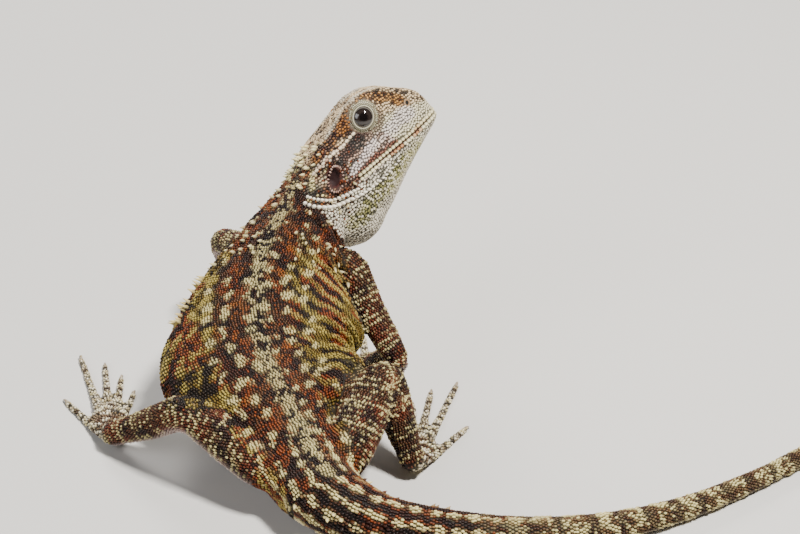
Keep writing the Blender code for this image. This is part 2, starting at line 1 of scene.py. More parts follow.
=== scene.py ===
# %% [markdown]
# # A young bearded dragon, life size
# The solids of the animal are loaded as a fixed frame. One skin is melted over them, and about
# forty thousand small scales are laid on it in rows that follow the body, the way they lie on the
# real animal. Markings are worked out for every scale from its place on the body, and the skin
# between the scales takes the same markings, darkened as painted shade in the gaps. Each scale is
# darker at its rim as painted shade and lighter on its keel, partly as a painted highlight.

# %% Frame
import math
from itertools import product

import bmesh
import bpy
import numpy as np
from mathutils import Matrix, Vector
from mathutils.bvhtree import BVHTree
from mathutils.kdtree import KDTree


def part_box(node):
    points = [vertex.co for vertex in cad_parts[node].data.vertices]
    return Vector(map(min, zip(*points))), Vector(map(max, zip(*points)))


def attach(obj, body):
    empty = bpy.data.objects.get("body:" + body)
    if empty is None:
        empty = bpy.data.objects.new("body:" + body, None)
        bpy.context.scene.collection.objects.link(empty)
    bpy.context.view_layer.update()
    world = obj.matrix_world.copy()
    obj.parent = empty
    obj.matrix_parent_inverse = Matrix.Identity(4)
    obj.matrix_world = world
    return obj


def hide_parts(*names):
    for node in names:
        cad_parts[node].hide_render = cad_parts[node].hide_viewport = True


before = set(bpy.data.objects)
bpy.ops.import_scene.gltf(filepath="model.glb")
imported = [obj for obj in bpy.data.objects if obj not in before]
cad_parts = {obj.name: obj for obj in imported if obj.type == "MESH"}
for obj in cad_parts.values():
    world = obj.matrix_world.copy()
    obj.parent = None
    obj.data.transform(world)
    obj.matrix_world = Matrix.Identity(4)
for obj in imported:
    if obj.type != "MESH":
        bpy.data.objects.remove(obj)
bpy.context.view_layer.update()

# %% [markdown]
# ## Sizes
# Lengths are in millimetres in the animal's own frame and turn into metres when a mesh is made.
# The stations of trunk, tail, head and limbs are the ones that the solids were built from.

# %% Sizes and stations
MM = 0.001
SWELL = 0.19                 # how far each solid swells before they melt into one skin
VOXEL = 0.4
WELD = 2e-6                  # metres within which two corners of a solid are one
FLOOR_GAP = 0.05             # how far the skin stays over the floor
SKIN_TRIANGLES = 180000
RAYS = 72                    # directions in which a section of the body is measured

# Middle of the back (x, y, z), half width, depth and roll, from tail root to nape.
TRUNK = np.array([
    (2.4, -6.4, 12.6, 7.8, 13.2, 0.0), (-0.4, 0.2, 14.4, 9.2, 14.8, 0.0),
    (-4.8, 9.0, 18.2, 12.3, 16.0, 2.0), (-9.4, 18.5, 22.7, 19.7, 17.0, 5.0),
    (-10.8, 28.0, 27.1, 17.5, 16.8, 9.0), (-9.9, 36.0, 31.5, 13.1, 15.4, 12.0),
    (-6.9, 42.5, 36.3, 10.1, 13.9, 15.0), (-3.7, 47.2, 40.8, 7.9, 13.0, 20.0),
    (-0.8, 51.0, 44.9, 7.4, 12.4, 25.0), (4.2, 55.0, 46.8, 6.4, 11.2, 27.0),
])
# Middle line of the tail on the floor plan (x, y) and its radius.
TAIL = np.array([
    (0.6, -4.4, 7.4), (7.9, -10.3, 6.1), (17.0, -12.8, 4.8), (34.5, -13.6, 3.6), (52.0, -11.2, 2.9),
    (70.0, -3.8, 2.25), (90.0, 9.5, 1.8), (106.0, 24.0, 1.3), (117.0, 38.0, 0.7),
])
TAIL_SINK = 0.25
# The head's frame: yaw, pitch and roll, and the front of the mouth. Places are (behind, right, up).
HEAD_YAW, HEAD_PITCH, HEAD_ROLL = 58.0, 26.0, 27.0
MUZZLE_TIP = np.array((22.7, 64.0, 46.7))
EYE_AT = np.array((12.9, 4.75, 9.1))
EYE_RADIUS = 2.75
EAR_AT = np.array((25.2, 10.2, 4.4))
EAR_RADII, EAR_LEAN = (1.4, 2.25), -0.6
NOSTRIL_AT = np.array((3.7, 3.6, 5.5))
MOUTH_RISE = 0.06
SIDES = ((1, "right"), (-1, "left"))
# Shoulder, elbow, wrist and hip, knee, ankle.
LIMBS = {
    "arm_right": ((6.0, 38.6, 27.0), (15.8, 26.4, 13.0), (9.8, 40.0, 3.0)),
    "arm_left": ((-11.5, 45.5, 26.0), (-19.6, 59.0, 19.4), (-17.5, 67.0, 3.0)),
    "leg_right": ((5.6, 2.4, 8.8), (13.4, 15.6, 16.6), (18.9, 7.4, 3.0)),
    "leg_left": ((-8.0, -0.4, 8.6), (-23.0, 8.1, 14.0), (-38.8, 16.4, 3.0)),
}
ARM_RADII = (3.8, 3.5, 3.0, 2.6, 2.5, 1.8)
LEG_RADII = {"leg_right": (5.4, 5.2, 4.9, 3.8, 3.3, 2.2),
             "leg_left": (5.2, 4.8, 4.2, 3.5, 3.1, 2.2)}
CHEST_AT, HIPS_AT = 5.3, 1.1
# Length of each toe and its turn from the foot's own heading, from the inner to the outer toe.
HIND_TOES = ((16.5, -18.0), (21.5, -8.0), (26.0, 0.0), (29.5, 9.0), (17.0, 28.0))
FORE_TOES = ((8.0, -48.0), (10.5, -24.0), (11.5, 0.0), (11.0, 24.0), (8.5, 50.0))
FOOT_YAW = {"leg_right": 8.0, "leg_left": -9.0, "arm_right": -4.0, "arm_left": 4.0}
TOE_RADIUS, CLAW_LENGTH = 0.68, 1.6
HANDS = [(name, number) for name in LIMBS for number in range(5)]


# %% [markdown]
# ## Curves and frames
# A limb, the trunk or the tail is a line of stations. A smooth curve passes through them.


# %% Curves, frames and noise
def unit(vectors):
    """Vectors at length one: each is divided by its own length."""
    vectors = np.asarray(vectors, float)
    return vectors / np.maximum(np.linalg.norm(vectors, axis=-1, keepdims=True), 1e-9)


def smooth(rows, at):
    """Rows read at fractional positions, on a cubic curve that passes through each row."""
    rows = np.asarray(rows, float)
    slopes = np.gradient(rows, axis=0)
    low = np.clip(np.floor(at).astype(int), 0, len(rows) - 2)
    t = (np.asarray(at, float) - low)[:, None]
    a, b, start, end = rows[low], rows[low + 1], slopes[low], slopes[low + 1]
    return ((2 * t**3 - 3 * t**2 + 1) * a + (t**3 - 2 * t**2 + t) * start
            + (3 * t**2 - 2 * t**3) * b + (t**3 - t**2) * end)


def head_axes():
    """The head's forward, right and up directions."""
    yaw, pitch, roll = (math.radians(angle) for angle in (HEAD_YAW, HEAD_PITCH, HEAD_ROLL))
    forward = np.array((math.sin(yaw) * math.cos(pitch), math.cos(yaw) * math.cos(pitch),
                        math.sin(pitch)))
    side = unit(np.cross(forward, (0, 0, 1)))
    top = np.cross(side, forward)
    right = side * math.cos(roll) + top * math.sin(roll)
    return forward, right, np.cross(right, forward)


FORWARD, RIGHT, TOP = head_axes()


def in_head(places):
    """Places given as (behind the muzzle tip, right, up), in the animal's frame."""
    places = np.atleast_2d(np.asarray(places, float))
    return MUZZLE_TIP - places[:, :1] * FORWARD + places[:, 1:2] * RIGHT + places[:, 2:] * TOP


def from_head(points):
    """The reverse of in_head: points of the animal's frame as (behind, right, up)."""
    away = np.atleast_2d(points) - MUZZLE_TIP
    return np.column_stack([-(away @ FORWARD), away @ RIGHT, away @ TOP])


def both_of(places):
    """Places on the head with right and left folded together: behind, away from the middle, up."""
    head = from_head(places)
    return np.column_stack([head[:, 0], np.abs(head[:, 1]), head[:, 2]])


def mouth_at(behind):
    """Height of the mouth line."""
    return MOUTH_RISE * behind


def chance(*numbers):
    """A number from 0 to 1 that looks random but depends only on the whole numbers given."""
    mixed = sum(np.asarray(number, float) * factor
                for number, factor in zip(numbers, (12.9898, 78.233, 37.719, 93.17)))
    return np.modf(np.abs(np.sin(mixed) * 43758.5453))[0]


def noise(points, size, seed=0):
    """Smooth random values from 0 to 1 that change over about one size, in millimetres."""
    places = np.atleast_2d(points) / size + 31.7 * (seed + 1)
    cell = np.floor(places)
    part = places - cell
    part = part * part * (3 - 2 * part)
    total = np.zeros(len(places))
    for corner in product((0, 1), repeat=3):
        weight = np.prod(np.where(np.array(corner) == 1, part, 1 - part), axis=1)
        total += weight * chance(*(cell + corner).T, seed)
    return total


def step(low, high, value):
    """0 below low, 1 above high and a soft rise between."""
    t = np.clip((value - low) / (high - low), 0, 1)
    return t * t * (3 - 2 * t)


def arc_of(line):
    """The distance of each place of a line from its start, measured along the line."""
    return np.concatenate([[0.0], np.cumsum(np.linalg.norm(np.diff(line, axis=0), axis=1))])


def read_at(at, arc, values):
    """Columns of values, given at the distances arc, read at other distances."""
    return np.column_stack([np.interp(at, arc, column) for column in values.T])


def tree_of(points):
    """A search tree of points."""
    tree = KDTree(len(points))
    for k, point in enumerate(points):
        tree.insert(point, k)
    tree.balance()
    return tree


def gap_to(tree, places):
    """The distance from each place to the nearest point of a search tree."""
    return np.array([tree.find(place)[2] for place in places])


def linked(name, data):
    """A new object of the scene."""
    thing = bpy.data.objects.new(name, data)
    bpy.context.scene.collection.objects.link(thing)
    return thing


# The solids' frame and the animal's frame differ by a shift, found from the right eye's box.
low, high = (np.array(corner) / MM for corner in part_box("eye_right"))
SHIFT = (low + high) / 2 - in_head(EYE_AT)[0]
print("shift from the animal's frame to the solids' frame", SHIFT.round(2))


# %% [markdown]
# ## One skin
# The solids of flesh are copied, swollen until they meet across their cuts, melted on a fine grid
# and drawn in again by the depth of the coat.


# %% Skin
FLESH = [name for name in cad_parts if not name.startswith("eye")]


def arrays_of(mesh):
    """Points and triangles of a mesh."""
    mesh.calc_loop_triangles()
    points = np.zeros(len(mesh.vertices) * 3)
    mesh.vertices.foreach_get("co", points)
    faces = np.zeros(len(mesh.loop_triangles) * 3, np.int32)
    mesh.loop_triangles.foreach_get("vertices", faces)
    return points.reshape(-1, 3), faces.reshape(-1, 3)


def changed(thing, kind, **settings):
    """Adds a modifier with the settings given."""
    change = thing.modifiers.new(kind, kind)
    for key, value in settings.items():
        setattr(change, key, value)


def mesh_after(thing):
    """The mesh of an object after its modifiers."""
    bpy.context.view_layer.update()
    return bpy.data.meshes.new_from_object(
        thing.evaluated_get(bpy.context.evaluated_depsgraph_get()))


def melted_skin():
    """The solids swollen, melted into one closed skin and drawn in again."""
    work = bmesh.new()
    for name in FLESH:
        work.from_mesh(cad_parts[name].data)
    bmesh.ops.remove_doubles(work, verts=work.verts, dist=WELD)
    mesh = bpy.data.meshes.new("flesh")
    work.to_mesh(mesh)
    work.free()
    mesh.vertices.foreach_set("co", (arrays_of(mesh)[0] / MM - SHIFT).ravel())
    thing = linked("flesh", mesh)
    changed(thing, "DISPLACE", strength=SWELL, mid_level=0.0)
    changed(thing, "REMESH", mode="VOXEL", voxel_size=VOXEL)
    changed(thing, "SMOOTH", factor=0.5, iterations=2)
    changed(thing, "DISPLACE", strength=-SWELL, mid_level=0.0)
    whole = mesh_after(thing)
    thing.modifiers.clear()
    thing.data = whole
    whole.calc_loop_triangles()
    print("melted skin has", len(whole.loop_triangles), "triangles")
    changed(thing, "DECIMATE", ratio=min(1.0, SKIN_TRIANGLES / len(whole.loop_triangles)))
    whole = mesh_after(thing)
    bpy.data.objects.remove(thing)
    return whole


def coat_depth(name):
    """How deep the coat is on a solid, which is how far the skin lies inside it."""
    if name.startswith(("foot", "hand", "tail_5")):
        return 0.10
    return 0.20 if name in ("head", "lower_jaw") else 0.26


skin_mesh = melted_skin()
skin_points, skin_faces = arrays_of(skin_mesh)
normals = np.zeros(len(skin_points) * 3)
skin_mesh.vertices.foreach_get("normal", normals)
skin_normals = normals.reshape(-1, 3)
solids = [arrays_of(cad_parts[name].data)[0] / MM - SHIFT for name in FLESH]
depth_at = np.concatenate([np.full(len(points), coat_depth(name))
                           for name, points in zip(FLESH, solids)])
tree = tree_of(np.vstack(solids))
depth = depth_at[[tree.find(point)[1] for point in skin_points]]
skin_points = skin_points - skin_normals * depth[:, None]
skin_points[:, 2] = np.maximum(skin_points[:, 2], FLOOR_GAP)
skin_tree = BVHTree.FromPolygons(skin_points.tolist(), skin_faces.tolist())
print("skin:", len(skin_points), "vertices,", len(skin_faces), "triangles")


# %% [markdown]
# ## Sections of the body
# From the middle line of each length, rays are cast outwards to the skin. The rings of hits are an
# unwrap of the skin's own shape: along the length, and round it from the belly line.


# %% Sections
def sections(centres, across, upward, reach, ahead=0.0, sense=1):
    """Rings of skin points round a middle line, and the way its scales lie (sense).

    direction = across * cos(turn) + upward * sin(turn) + ahead, with the turn starting at the
    belly. A ray that goes further than its reach has missed and is marked.
    """
    turn = np.linspace(-np.pi / 2, 1.5 * np.pi, RAYS, endpoint=False)
    ways = (np.cos(turn)[None, :, None] * across[:, None]
            + np.sin(turn)[None, :, None] * upward[:, None])
    ways = unit(ways + np.atleast_2d(ahead)[:, None])
    grid = centres[:, None] + ways * reach[:, None, None]
    missed = np.ones(grid.shape[:2])
    for i, j in np.ndindex(missed.shape):
        hit = skin_tree.ray_cast(Vector(centres[i]), Vector(ways[i, j]), reach[i])[0]
        if hit is not None:
            missed[i, j], grid[i, j] = 0, hit
    run = np.linalg.norm(np.diff(grid, axis=0), axis=2).mean(axis=1)
    run = np.maximum(run, np.linalg.norm(np.diff(centres, axis=0), axis=1) * 0.6)
    return {"grid": grid, "missed": missed, "along": np.concatenate([[0.0], np.cumsum(run)]),
            "sense": sense}


def cross_axes(path):
    """Side and upward directions of the sections along a path."""
    along = unit(np.gradient(path, axis=0))
    side = unit(np.cross(along, (0, 0, 1)))
    return side, np.cross(side, along)


def trunk_sections():
    """Sections of the trunk from tail root to nape. Its scales lie towards the tail."""
    rows = smooth(TRUNK, np.linspace(-0.35, 8.8, 110))
    side, top = cross_axes(rows[:, :3])
    roll = np.radians(rows[:, 5])[:, None]
    across = side * np.cos(roll) + top * np.sin(roll)
    upward = top * np.cos(roll) - side * np.sin(roll)
    centres = rows[:, :3] - upward * (0.5 * rows[:, 4])[:, None]
    reach = np.maximum(rows[:, 3], 0.55 * rows[:, 4]) * 1.18 + 0.6
    return sections(centres, across, upward, reach, sense=-1)


def round_sections(rows, grow, spare):
    """Sections along rows of (x, y, z, radius). A ray may reach radius * grow + spare."""
    return sections(rows[:, :3], *cross_axes(rows[:, :3]), rows[:, 3] * grow + spare)


def tail_sections():
    """Sections of the tail from its root to its tip."""
    rows = smooth(TAIL, np.linspace(0.2, 7.95, 150))
    height = rows[:, 2] - TAIL_SINK
    return round_sections(np.column_stack([rows[:, :2], height, rows[:, 2]]), 1.5, 0.5)


def limb_sections(name):
    """Sections of a limb from inside the trunk to the wrist or ankle."""
    first, bend, end = (np.array(joint) for joint in LIMBS[name])
    station = smooth(TRUNK, np.array([CHEST_AT if name.startswith("arm") else HIPS_AT]))[0]
    root = first + 0.6 * (station[:3] - (0, 0, station[4] * 0.5) - first)
    places = (root, first, (first + bend) / 2, bend, (bend + end) / 2, end)
    rows = np.column_stack([places, LEG_RADII.get(name, ARM_RADII)])
    return round_sections(smooth(rows, np.linspace(0.2, 4.97, 60)), 1.45, 0.5)


def toe_rows(name, number):
    """Places and radii along a toe, from the ankle to the claw's root, and its heading."""
    length, turn = (FORE_TOES if name.startswith("arm") else HIND_TOES)[number]
    turn = math.radians(FOOT_YAW[name] + (-turn if name.endswith("left") else turn))
    ankle = np.array(LIMBS[name][2])
    heading = np.array((math.sin(turn), math.cos(turn), 0.0))
    shares = np.array((0.0, 0.22, 0.45, 0.7, 0.92, 1.0))
    heights = np.array((ankle[2], 0.58 * ankle[2], 0.8, 0.54, 0.4, 0.42))
    sizes = np.array((2.3, 1.9, 1.35, 1.0, 0.95, 0.8)) * TOE_RADIUS
    path = ankle * (1, 1, 0) + heading * (shares * length)[:, None] + (0, 0, 1) * heights[:, None]
    return np.column_stack([path, sizes]), heading


def toe_sections(name, number):
    """Sections of one toe."""
    return round_sections(smooth(toe_rows(name, number)[0], np.linspace(0.0, 5.0, 44)), 1.7, 0.3)


def head_sections():
    """Sections of the head: a fan of cones at the muzzle, then upright sections to the nape."""
    tilt = np.radians(np.linspace(2, 90, 34))
    back = np.linspace(7.6, 31.0, 46)
    height = np.interp(back, (7, 12, 25, 31), (3.0, 2.6, -0.6, -0.8))
    places = np.vstack([np.tile((7.0, 0.0, 3.0), (len(tilt), 1)),
                        np.column_stack([back, 0 * back, height])])
    lean = np.concatenate([tilt, np.full(len(back), np.pi / 2)])[:, None]
    reach = np.concatenate([np.full(len(tilt), 12.0),
                            np.interp(back, (7, 20, 31), (11, 12.8, 11.5))])
    return sections(in_head(places), np.sin(lean) * RIGHT, np.sin(lean) * TOP, reach,
                    np.cos(lean) * FORWARD)


body = {"head": head_sections(), "trunk": trunk_sections(), "tail": tail_sections()}
body.update({name: limb_sections(name) for name in LIMBS})
body.update({"toe_%s_%d" % hand: toe_sections(*hand) for hand in HANDS})
print("sections:", {name: (len(one["grid"]), round(float(one["missed"].mean()), 2),
                           round(float(one["along"][-1]), 1))
                    for name, one in list(body.items())[:7]})


# %% [markdown]
# ## Roots of the scales
# Rows of roots are read off the rings at even steps, every second row shifted by half a scale, so
# that scales alternate as on a fir cone. A root that falls on a place already taken is dropped.


# %% Roots
ROW_STEP = 0.86              # distance from row to row, as a share of the pitch
PITCHES = {                  # distance along a length, and the distance between scales there
    "head": ((0, 6, 14, 24, 34), (0.50, 0.58, 0.63, 0.66, 0.68)),
    "trunk": ((0, 20, 45, 70), (0.57, 0.59, 0.56, 0.54)),
    "tail": ((0, 25, 70, 130), (0.62, 0.66, 0.60, 0.44)),
    "toe": ((0, 12, 30), (0.60, 0.54, 0.50)),
    "limb": ((0, 15, 40), (0.62, 0.59, 0.54))}


def chosen(one, mask):
    """The roots for which the mask is true."""
    return {key: value[mask] for key, value in one.items()}


def joined(parts, keys=None):
    """Several sets of roots as one, with all of their values or only those named."""
    return {key: np.concatenate([part[key] for part in parts]) for key in keys or parts[0]}


def rows_of_roots(name, one, jitter):
    """Roots in staggered rows: a dict of arrays with place, lie, station and side distance.

    Rows lie pitch * ROW_STEP apart. Each root is moved by up to half of pitch * jitter.
    """
    grid, along = one["grid"], one["along"]
    pitches = PITCHES.get(name, PITCHES["toe" if name.startswith("toe") else "limb"])
    rows, at = [], 0.2
    while at < along[-1] - 0.05:
        size = float(np.interp(at, *pitches))
        k = min(int(np.searchsorted(along, at, "right")) - 1, len(along) - 2)
        t = (at - along[k]) / (along[k + 1] - along[k])
        ring = (1 - t) * grid[k] + t * grid[k + 1]
        lost = np.maximum(one["missed"][k], one["missed"][k + 1])
        lie = unit(grid[min(k + 2, len(along) - 1)] - grid[max(k - 1, 0)]) * one["sense"]
        arc = arc_of(np.vstack([ring, ring[:1]]))
        count = max(5, int(round(arc[-1] / size)))
        order = np.arange(count)
        spot = (order + 0.5 * (len(rows) % 2)) / count * arc[-1]
        spot = spot + (chance(order, len(rows), 1) - 0.5) * size * jitter
        spot = np.clip(spot, 0, arc[-1] * 0.9999)
        shove = (chance(order, len(rows), 4) - 0.5) * size * jitter
        values = np.column_stack([ring, lie, lost])
        values = read_at(spot, arc, np.vstack([values, values[:1]]))
        ring, lie = values[:, :3], values[:, 3:6]
        row = {"place": ring + lie * shove[:, None], "lie": lie, "along": np.full(count, at),
               "side": spot - arc[RAYS // 2], "ring": spot / arc[-1],
               "pitch": np.full(count, size), "arc": np.full(count, arc[-1])}
        rows.append(chosen(row, values[:, 6] < 0.01))
        at += size * ROW_STEP
    roots = joined(rows)
    roots["share"] = roots["along"] / along[-1]
    return roots


def on_skin(roots):
    """The roots moved to the nearest place on the skin, with its normals there."""
    found = [skin_tree.find_nearest(point)[:2] for point in roots["place"]]
    roots["place"] = np.array([place for place, normal in found]).reshape(-1, 3)
    roots["normal"] = unit(np.array([normal for place, normal in found]).reshape(-1, 3))
    return roots


def clear_of(roots, taken, room=0.66):
    """Only the roots that lie further than room times their pitch from each taken place."""
    return chosen(roots, gap_to(tree_of(taken), roots["place"]) > roots["pitch"] * room)


def spread(roots):
    """Roots moved apart where they crowd: a nearer neighbour pushes by half of what is missing."""
    for _round in range(3):
        near = tree_of(roots["place"])
        moved = roots["place"].copy()
        for k, point in enumerate(roots["place"]):
            for other, _number, away in near.find_n(point, 7)[1:]:
                lack = roots["pitch"][k] * 1.02 - away
                if lack > 0 and away > 1e-6:
                    moved[k] += (point - np.array(other)) / away * lack * 0.5
        roots["place"] = moved
    return on_skin(roots)


# %% [markdown]
# ## Rows that stand out on the head
# Lips, the ridge behind the eye, the rim of the ear and the two bearded rows below it are single
# rows of larger scales. Each follows its own line over the skin, on both sides of the head.


# %% Rows on the head
LIP_RISE, LIP_SPACING, LIP_REACH = 0.46, 0.92, 16.0
STRAY = 1.3                  # a root that lies further than this from the skin is left out
RIM_GROWS = 1.16             # size of the beaded rim as a share of the ear


def lip_line(rise, side):
    """Skin points along the lip at a height over the mouth line, from the muzzle to the corner.

    Rays leave the middle of the head level with the lip: first a fan, then square to the head.
    """
    fan = np.radians(np.linspace(0, 88, 30))
    back = [6.0] * len(fan) + list(np.linspace(6.3, 21.5, 40))
    starts = [(behind, 0.0, mouth_at(behind) + rise) for behind in back]
    ways = [math.cos(t) * FORWARD + side * math.sin(t) * RIGHT for t in fan] + [side * RIGHT] * 40
    hits = [skin_tree.ray_cast(Vector(start), Vector(way), LIP_REACH)[0]
            for start, way in zip(in_head(starts), ways)]
    return np.array([hit for hit in hits if hit is not None])


def along_line(line, spacing, size=1.0, offset=0.0):
    """Roots at even steps on a line of places, lying back along it."""
    arc = arc_of(line)
    at = np.arange(offset * spacing, arc[-1], spacing)
    places, ahead, behind = (read_at(at + shift, arc, line) for shift in (0.0, 0.2, -0.2))
    roots = on_skin({"place": places.copy(), "lie": unit(ahead - behind),
                     "pitch": np.full(len(at), spacing * size)})
    return chosen(roots, np.linalg.norm(roots["place"] - places, axis=1) < STRAY)


def both_sides(places, spacing, size=1.0):
    """Roots along a line of the head, given as (behind, right, up), and along its mirror image."""
    at = np.linspace(0, len(places) - 1, 12 * len(places))
    return joined([along_line(in_head(smooth(np.array(places) * (1, side, 1), at)), spacing, size)
                   for side, _name in SIDES])


def ear_rim(side):
    """Roots on an upright oval round the ear that leans a little, each lying outwards."""
    turn = np.linspace(0, 2 * np.pi, 25, endpoint=False)
    behind, up = EAR_RADII[0] * RIM_GROWS * np.cos(turn), EAR_RADII[1] * RIM_GROWS * np.sin(turn)
    lean = behind * math.cos(EAR_LEAN) + up * math.sin(EAR_LEAN)
    rise = up * math.cos(EAR_LEAN) - behind * math.sin(EAR_LEAN)
    ring = in_head(EAR_AT * (1, side, 1) + np.column_stack([lean, 0 * lean, rise]))
    return on_skin({"place": ring, "lie": unit(ring - ring.mean(axis=0)),
                    "pitch": np.full(len(ring), 0.5)})


RIDGE = ((16.6, 7.2, 8.3), (19.6, 7.6, 8.1), (22.8, 7.9, 7.9), (25.2, 7.7, 7.6), (27.8, 6.9, 7.1))
BEARD = ((32.6, 8.4, 4.0), (31.7, 9.4, 2.5), (30.0, 10.0, 1.0), (27.9, 9.8, -0.2),
         (24.8, 10.0, -1.0), (22.0, 9.8, -1.6), (18.7, 8.8, -1.9), (15.6, 8.1, -1.9),
         (12.0, 7.2, -1.6))
SECOND_BEARD = ((31.6, 8.6, 5.2), (30.4, 9.5, 3.4), (27.9, 10.2, 1.2),
                (25.0, 10.4, 0.3), (21.5, 9.9, -0.4))
rows = {name: joined([along_line(lip_line(rise, side), LIP_SPACING, 1.0, 0.5)
                      for side, _name in SIDES])
        for name, rise in (("upper_lip", LIP_RISE), ("lower_lip", -LIP_RISE))}
rows.update({"ridge": both_sides(RIDGE, 0.95), "beard": both_sides(BEARD, 0.98, 0.9),
             "second_beard": both_sides(SECOND_BEARD, 0.84, 0.85),
             "ear_rim": joined([ear_rim(side) for side, _name in SIDES])})
for key in ("beard", "second_beard"):
    rows[key]["pitch"] *= np.interp(from_head(rows[key]["place"])[:, 0], (12, 18, 23, 30),
                                    (0.50, 0.66, 0.92, 1.02))
slit_tree = tree_of(np.vstack([lip_line(0.0, side) for side, _name in SIDES]))
# A row gives way to the rows made before it. The rim of the ear stays whole.
names = list(rows)
for k in range(1, names.index("ear_rim")):
    earlier = np.vstack([rows[name]["place"] for name in names[:k]])
    rows[names[k]] = clear_of(rows[names[k]], earlier, 0.55)

# %% Roots of the whole coat
JITTER, JITTER_HEAD = 0.3, 0.9
coat = {}
taken = np.vstack([row["place"] for row in rows.values()])
for name, one in body.items():
    jitter = JITTER_HEAD if name == "head" else JITTER
    roots = clear_of(on_skin(rows_of_roots(name, one, jitter)), taken)
    if name == "head":
        roots = clear_of(spread(roots), taken, 0.6)
    coat[name] = roots
    taken = np.vstack([taken, roots["place"]])
print("roots:", len(taken), {name: len(coat[name]["place"]) for name in list(coat)[:7]})


# %% [markdown]
# ## Folds
# Loose skin lies in slanting folds on the flanks and in cross folds on the neck. The skin is raised
# and lowered there, and the roots follow it. The dark bars of the markings on the right flank lie
# in the same furrows, with paler colour on the crests: partly markings, partly painted shade in the
# furrows and painted light on the crests.


# %% Folds
FOLD_PERIOD, FLANK_FOLD, NECK_FOLD = 4.3, 0.24, 0.26


def flank_wave(along, wide, place):
    """A wave from -1 to 1 that slants back and down over the flanks, bent by noise."""
    return np.sin(2 * np.pi * (along + 1.0 * wide) / FOLD_PERIOD
                  + 4.4 * (noise(place, 5.0, 6) - 0.5) + 2.2 * (noise(place, 1.7, 1) - 0.5))


def fold_height(along, ring, side, place):
    """How far the skin of the trunk is raised, in millimetres."""
    lateral = np.abs(ring - 0.5) * 2
    flank = step(0.24, 0.38, lateral) * step(0.74, 0.62, lateral) * step(8, 16, along)
    neck = step(52, 58, along) * step(0.12, 0.3, lateral)
    return (FLANK_FOLD * flank + NECK_FOLD * neck) * flank_wave(along, np.abs(side), place)


trunk = coat["trunk"]
near = tree_of(np.vstack([one["place"] for one in coat.values()]))
found = [near.find_n(point, 3) for point in skin_points]
index = np.array([[hit[1] for hit in hits] for hits in found]) - len(coat["head"]["place"])
away = np.array([[hit[2] for hit in hits] for hits in found])
on_trunk = np.all((index >= 0) & (index < len(trunk["place"])), axis=1)
weight = 1 / (away[on_trunk] + 0.05)
weight /= weight.sum(axis=1)[:, None]
reading = [np.sum(weight * trunk[key][index[on_trunk]], axis=1)
           for key in ("along", "ring", "side")]
rise = np.zeros(len(skin_points))
rise[on_trunk] = fold_height(*reading, skin_points[on_trunk])
skin_points = skin_points + skin_normals * rise[:, None]
skin_tree = BVHTree.FromPolygons(skin_points.tolist(), skin_faces.tolist())
coat["trunk"] = on_skin(trunk)
print("folds raise the skin by up to %.2f mm" % rise.max())


# %% [markdown]
# ## Markings
# A marking is a function of the place on the body: how far along a length, how far from the middle
# of the back. Rows of pale spots run down the back on a rust ground with dark blotches between.


# %% Markings
def srgb(red, green, blue):
    """A screen colour from 0 to 255 as linear light."""
    value = np.array((red, green, blue)) / 255
    return np.where(value <= 0.04045, value / 12.92, ((value + 0.055) / 1.055) ** 2.4)


CREAM, WHITE, LILAC = srgb(214, 202, 154), srgb(228, 220, 202), srgb(190, 176, 172)
RUST, BROWN, DARK = srgb(138, 76, 34), srgb(98, 66, 40), srgb(36, 20, 22)
OLIVE, YELLOW, GREY = srgb(118, 102, 46), srgb(198, 180, 106), srgb(104, 98, 90)
MAROON, ORANGE, CHESTNUT = srgb(72, 32, 22), srgb(162, 102, 38), srgb(122, 66, 40)
DEEPEN, DEEPEN_HEAD = 1.30, 1.28     # powers that deepen the darker colours of the coat
BACK_COLUMNS = (-9.4, -5.7, -2.1, 2.1, 5.7, 9.4)
FLANK_COLUMNS = (9.4, 13.0, 16.6, 20.2, 23.8, 27.4)


def mix(first, second, share):
    """first * (1 - share) + second * share, for each point."""
    share = np.clip(np.asarray(share, float), 0, 1)[:, None]
    return first * (1 - share) + second * share


def layered(colour, *layers):
    """A colour with layers mixed over it in turn, each a colour and its share at every point."""
    for paint, share in layers:
        colour = mix(colour, paint, share)
    return colour


def spots(along, side, period, columns, radius, seed, stretch=1.0):
    """How deep each place is inside the nearest pale spot, 1 at its middle and 0 at its edge."""
    best = np.full(len(along), -2.0)
    for (number, column), shift in product(enumerate(columns), (-2, -1, 0, 1)):
        cell = np.floor(along / period) + shift
        late = 0.5 * (number % 2) + 0.5 * chance(cell, number, seed)
        middle = (cell + 0.25 + late) * period
        off = column + 1.3 * (chance(cell, number, seed + 5) - 0.5)
        size = radius * (0.7 + 0.6 * chance(cell, number, seed + 9))
        inside = 1 - np.hypot((along - middle) / (size * stretch), (side - off) / size)
        best = np.maximum(best, inside)
    return best


def speckle(one, seed):
    """A number from -0.5 to 0.5 that differs from scale to scale."""
    return chance(np.arange(len(one["place"])), seed) - 0.5


def wave_of(distance, period, shift):
    """A sine along a distance, shifted by a number for each place."""
    return np.sin(2 * np.pi * distance / period + shift)


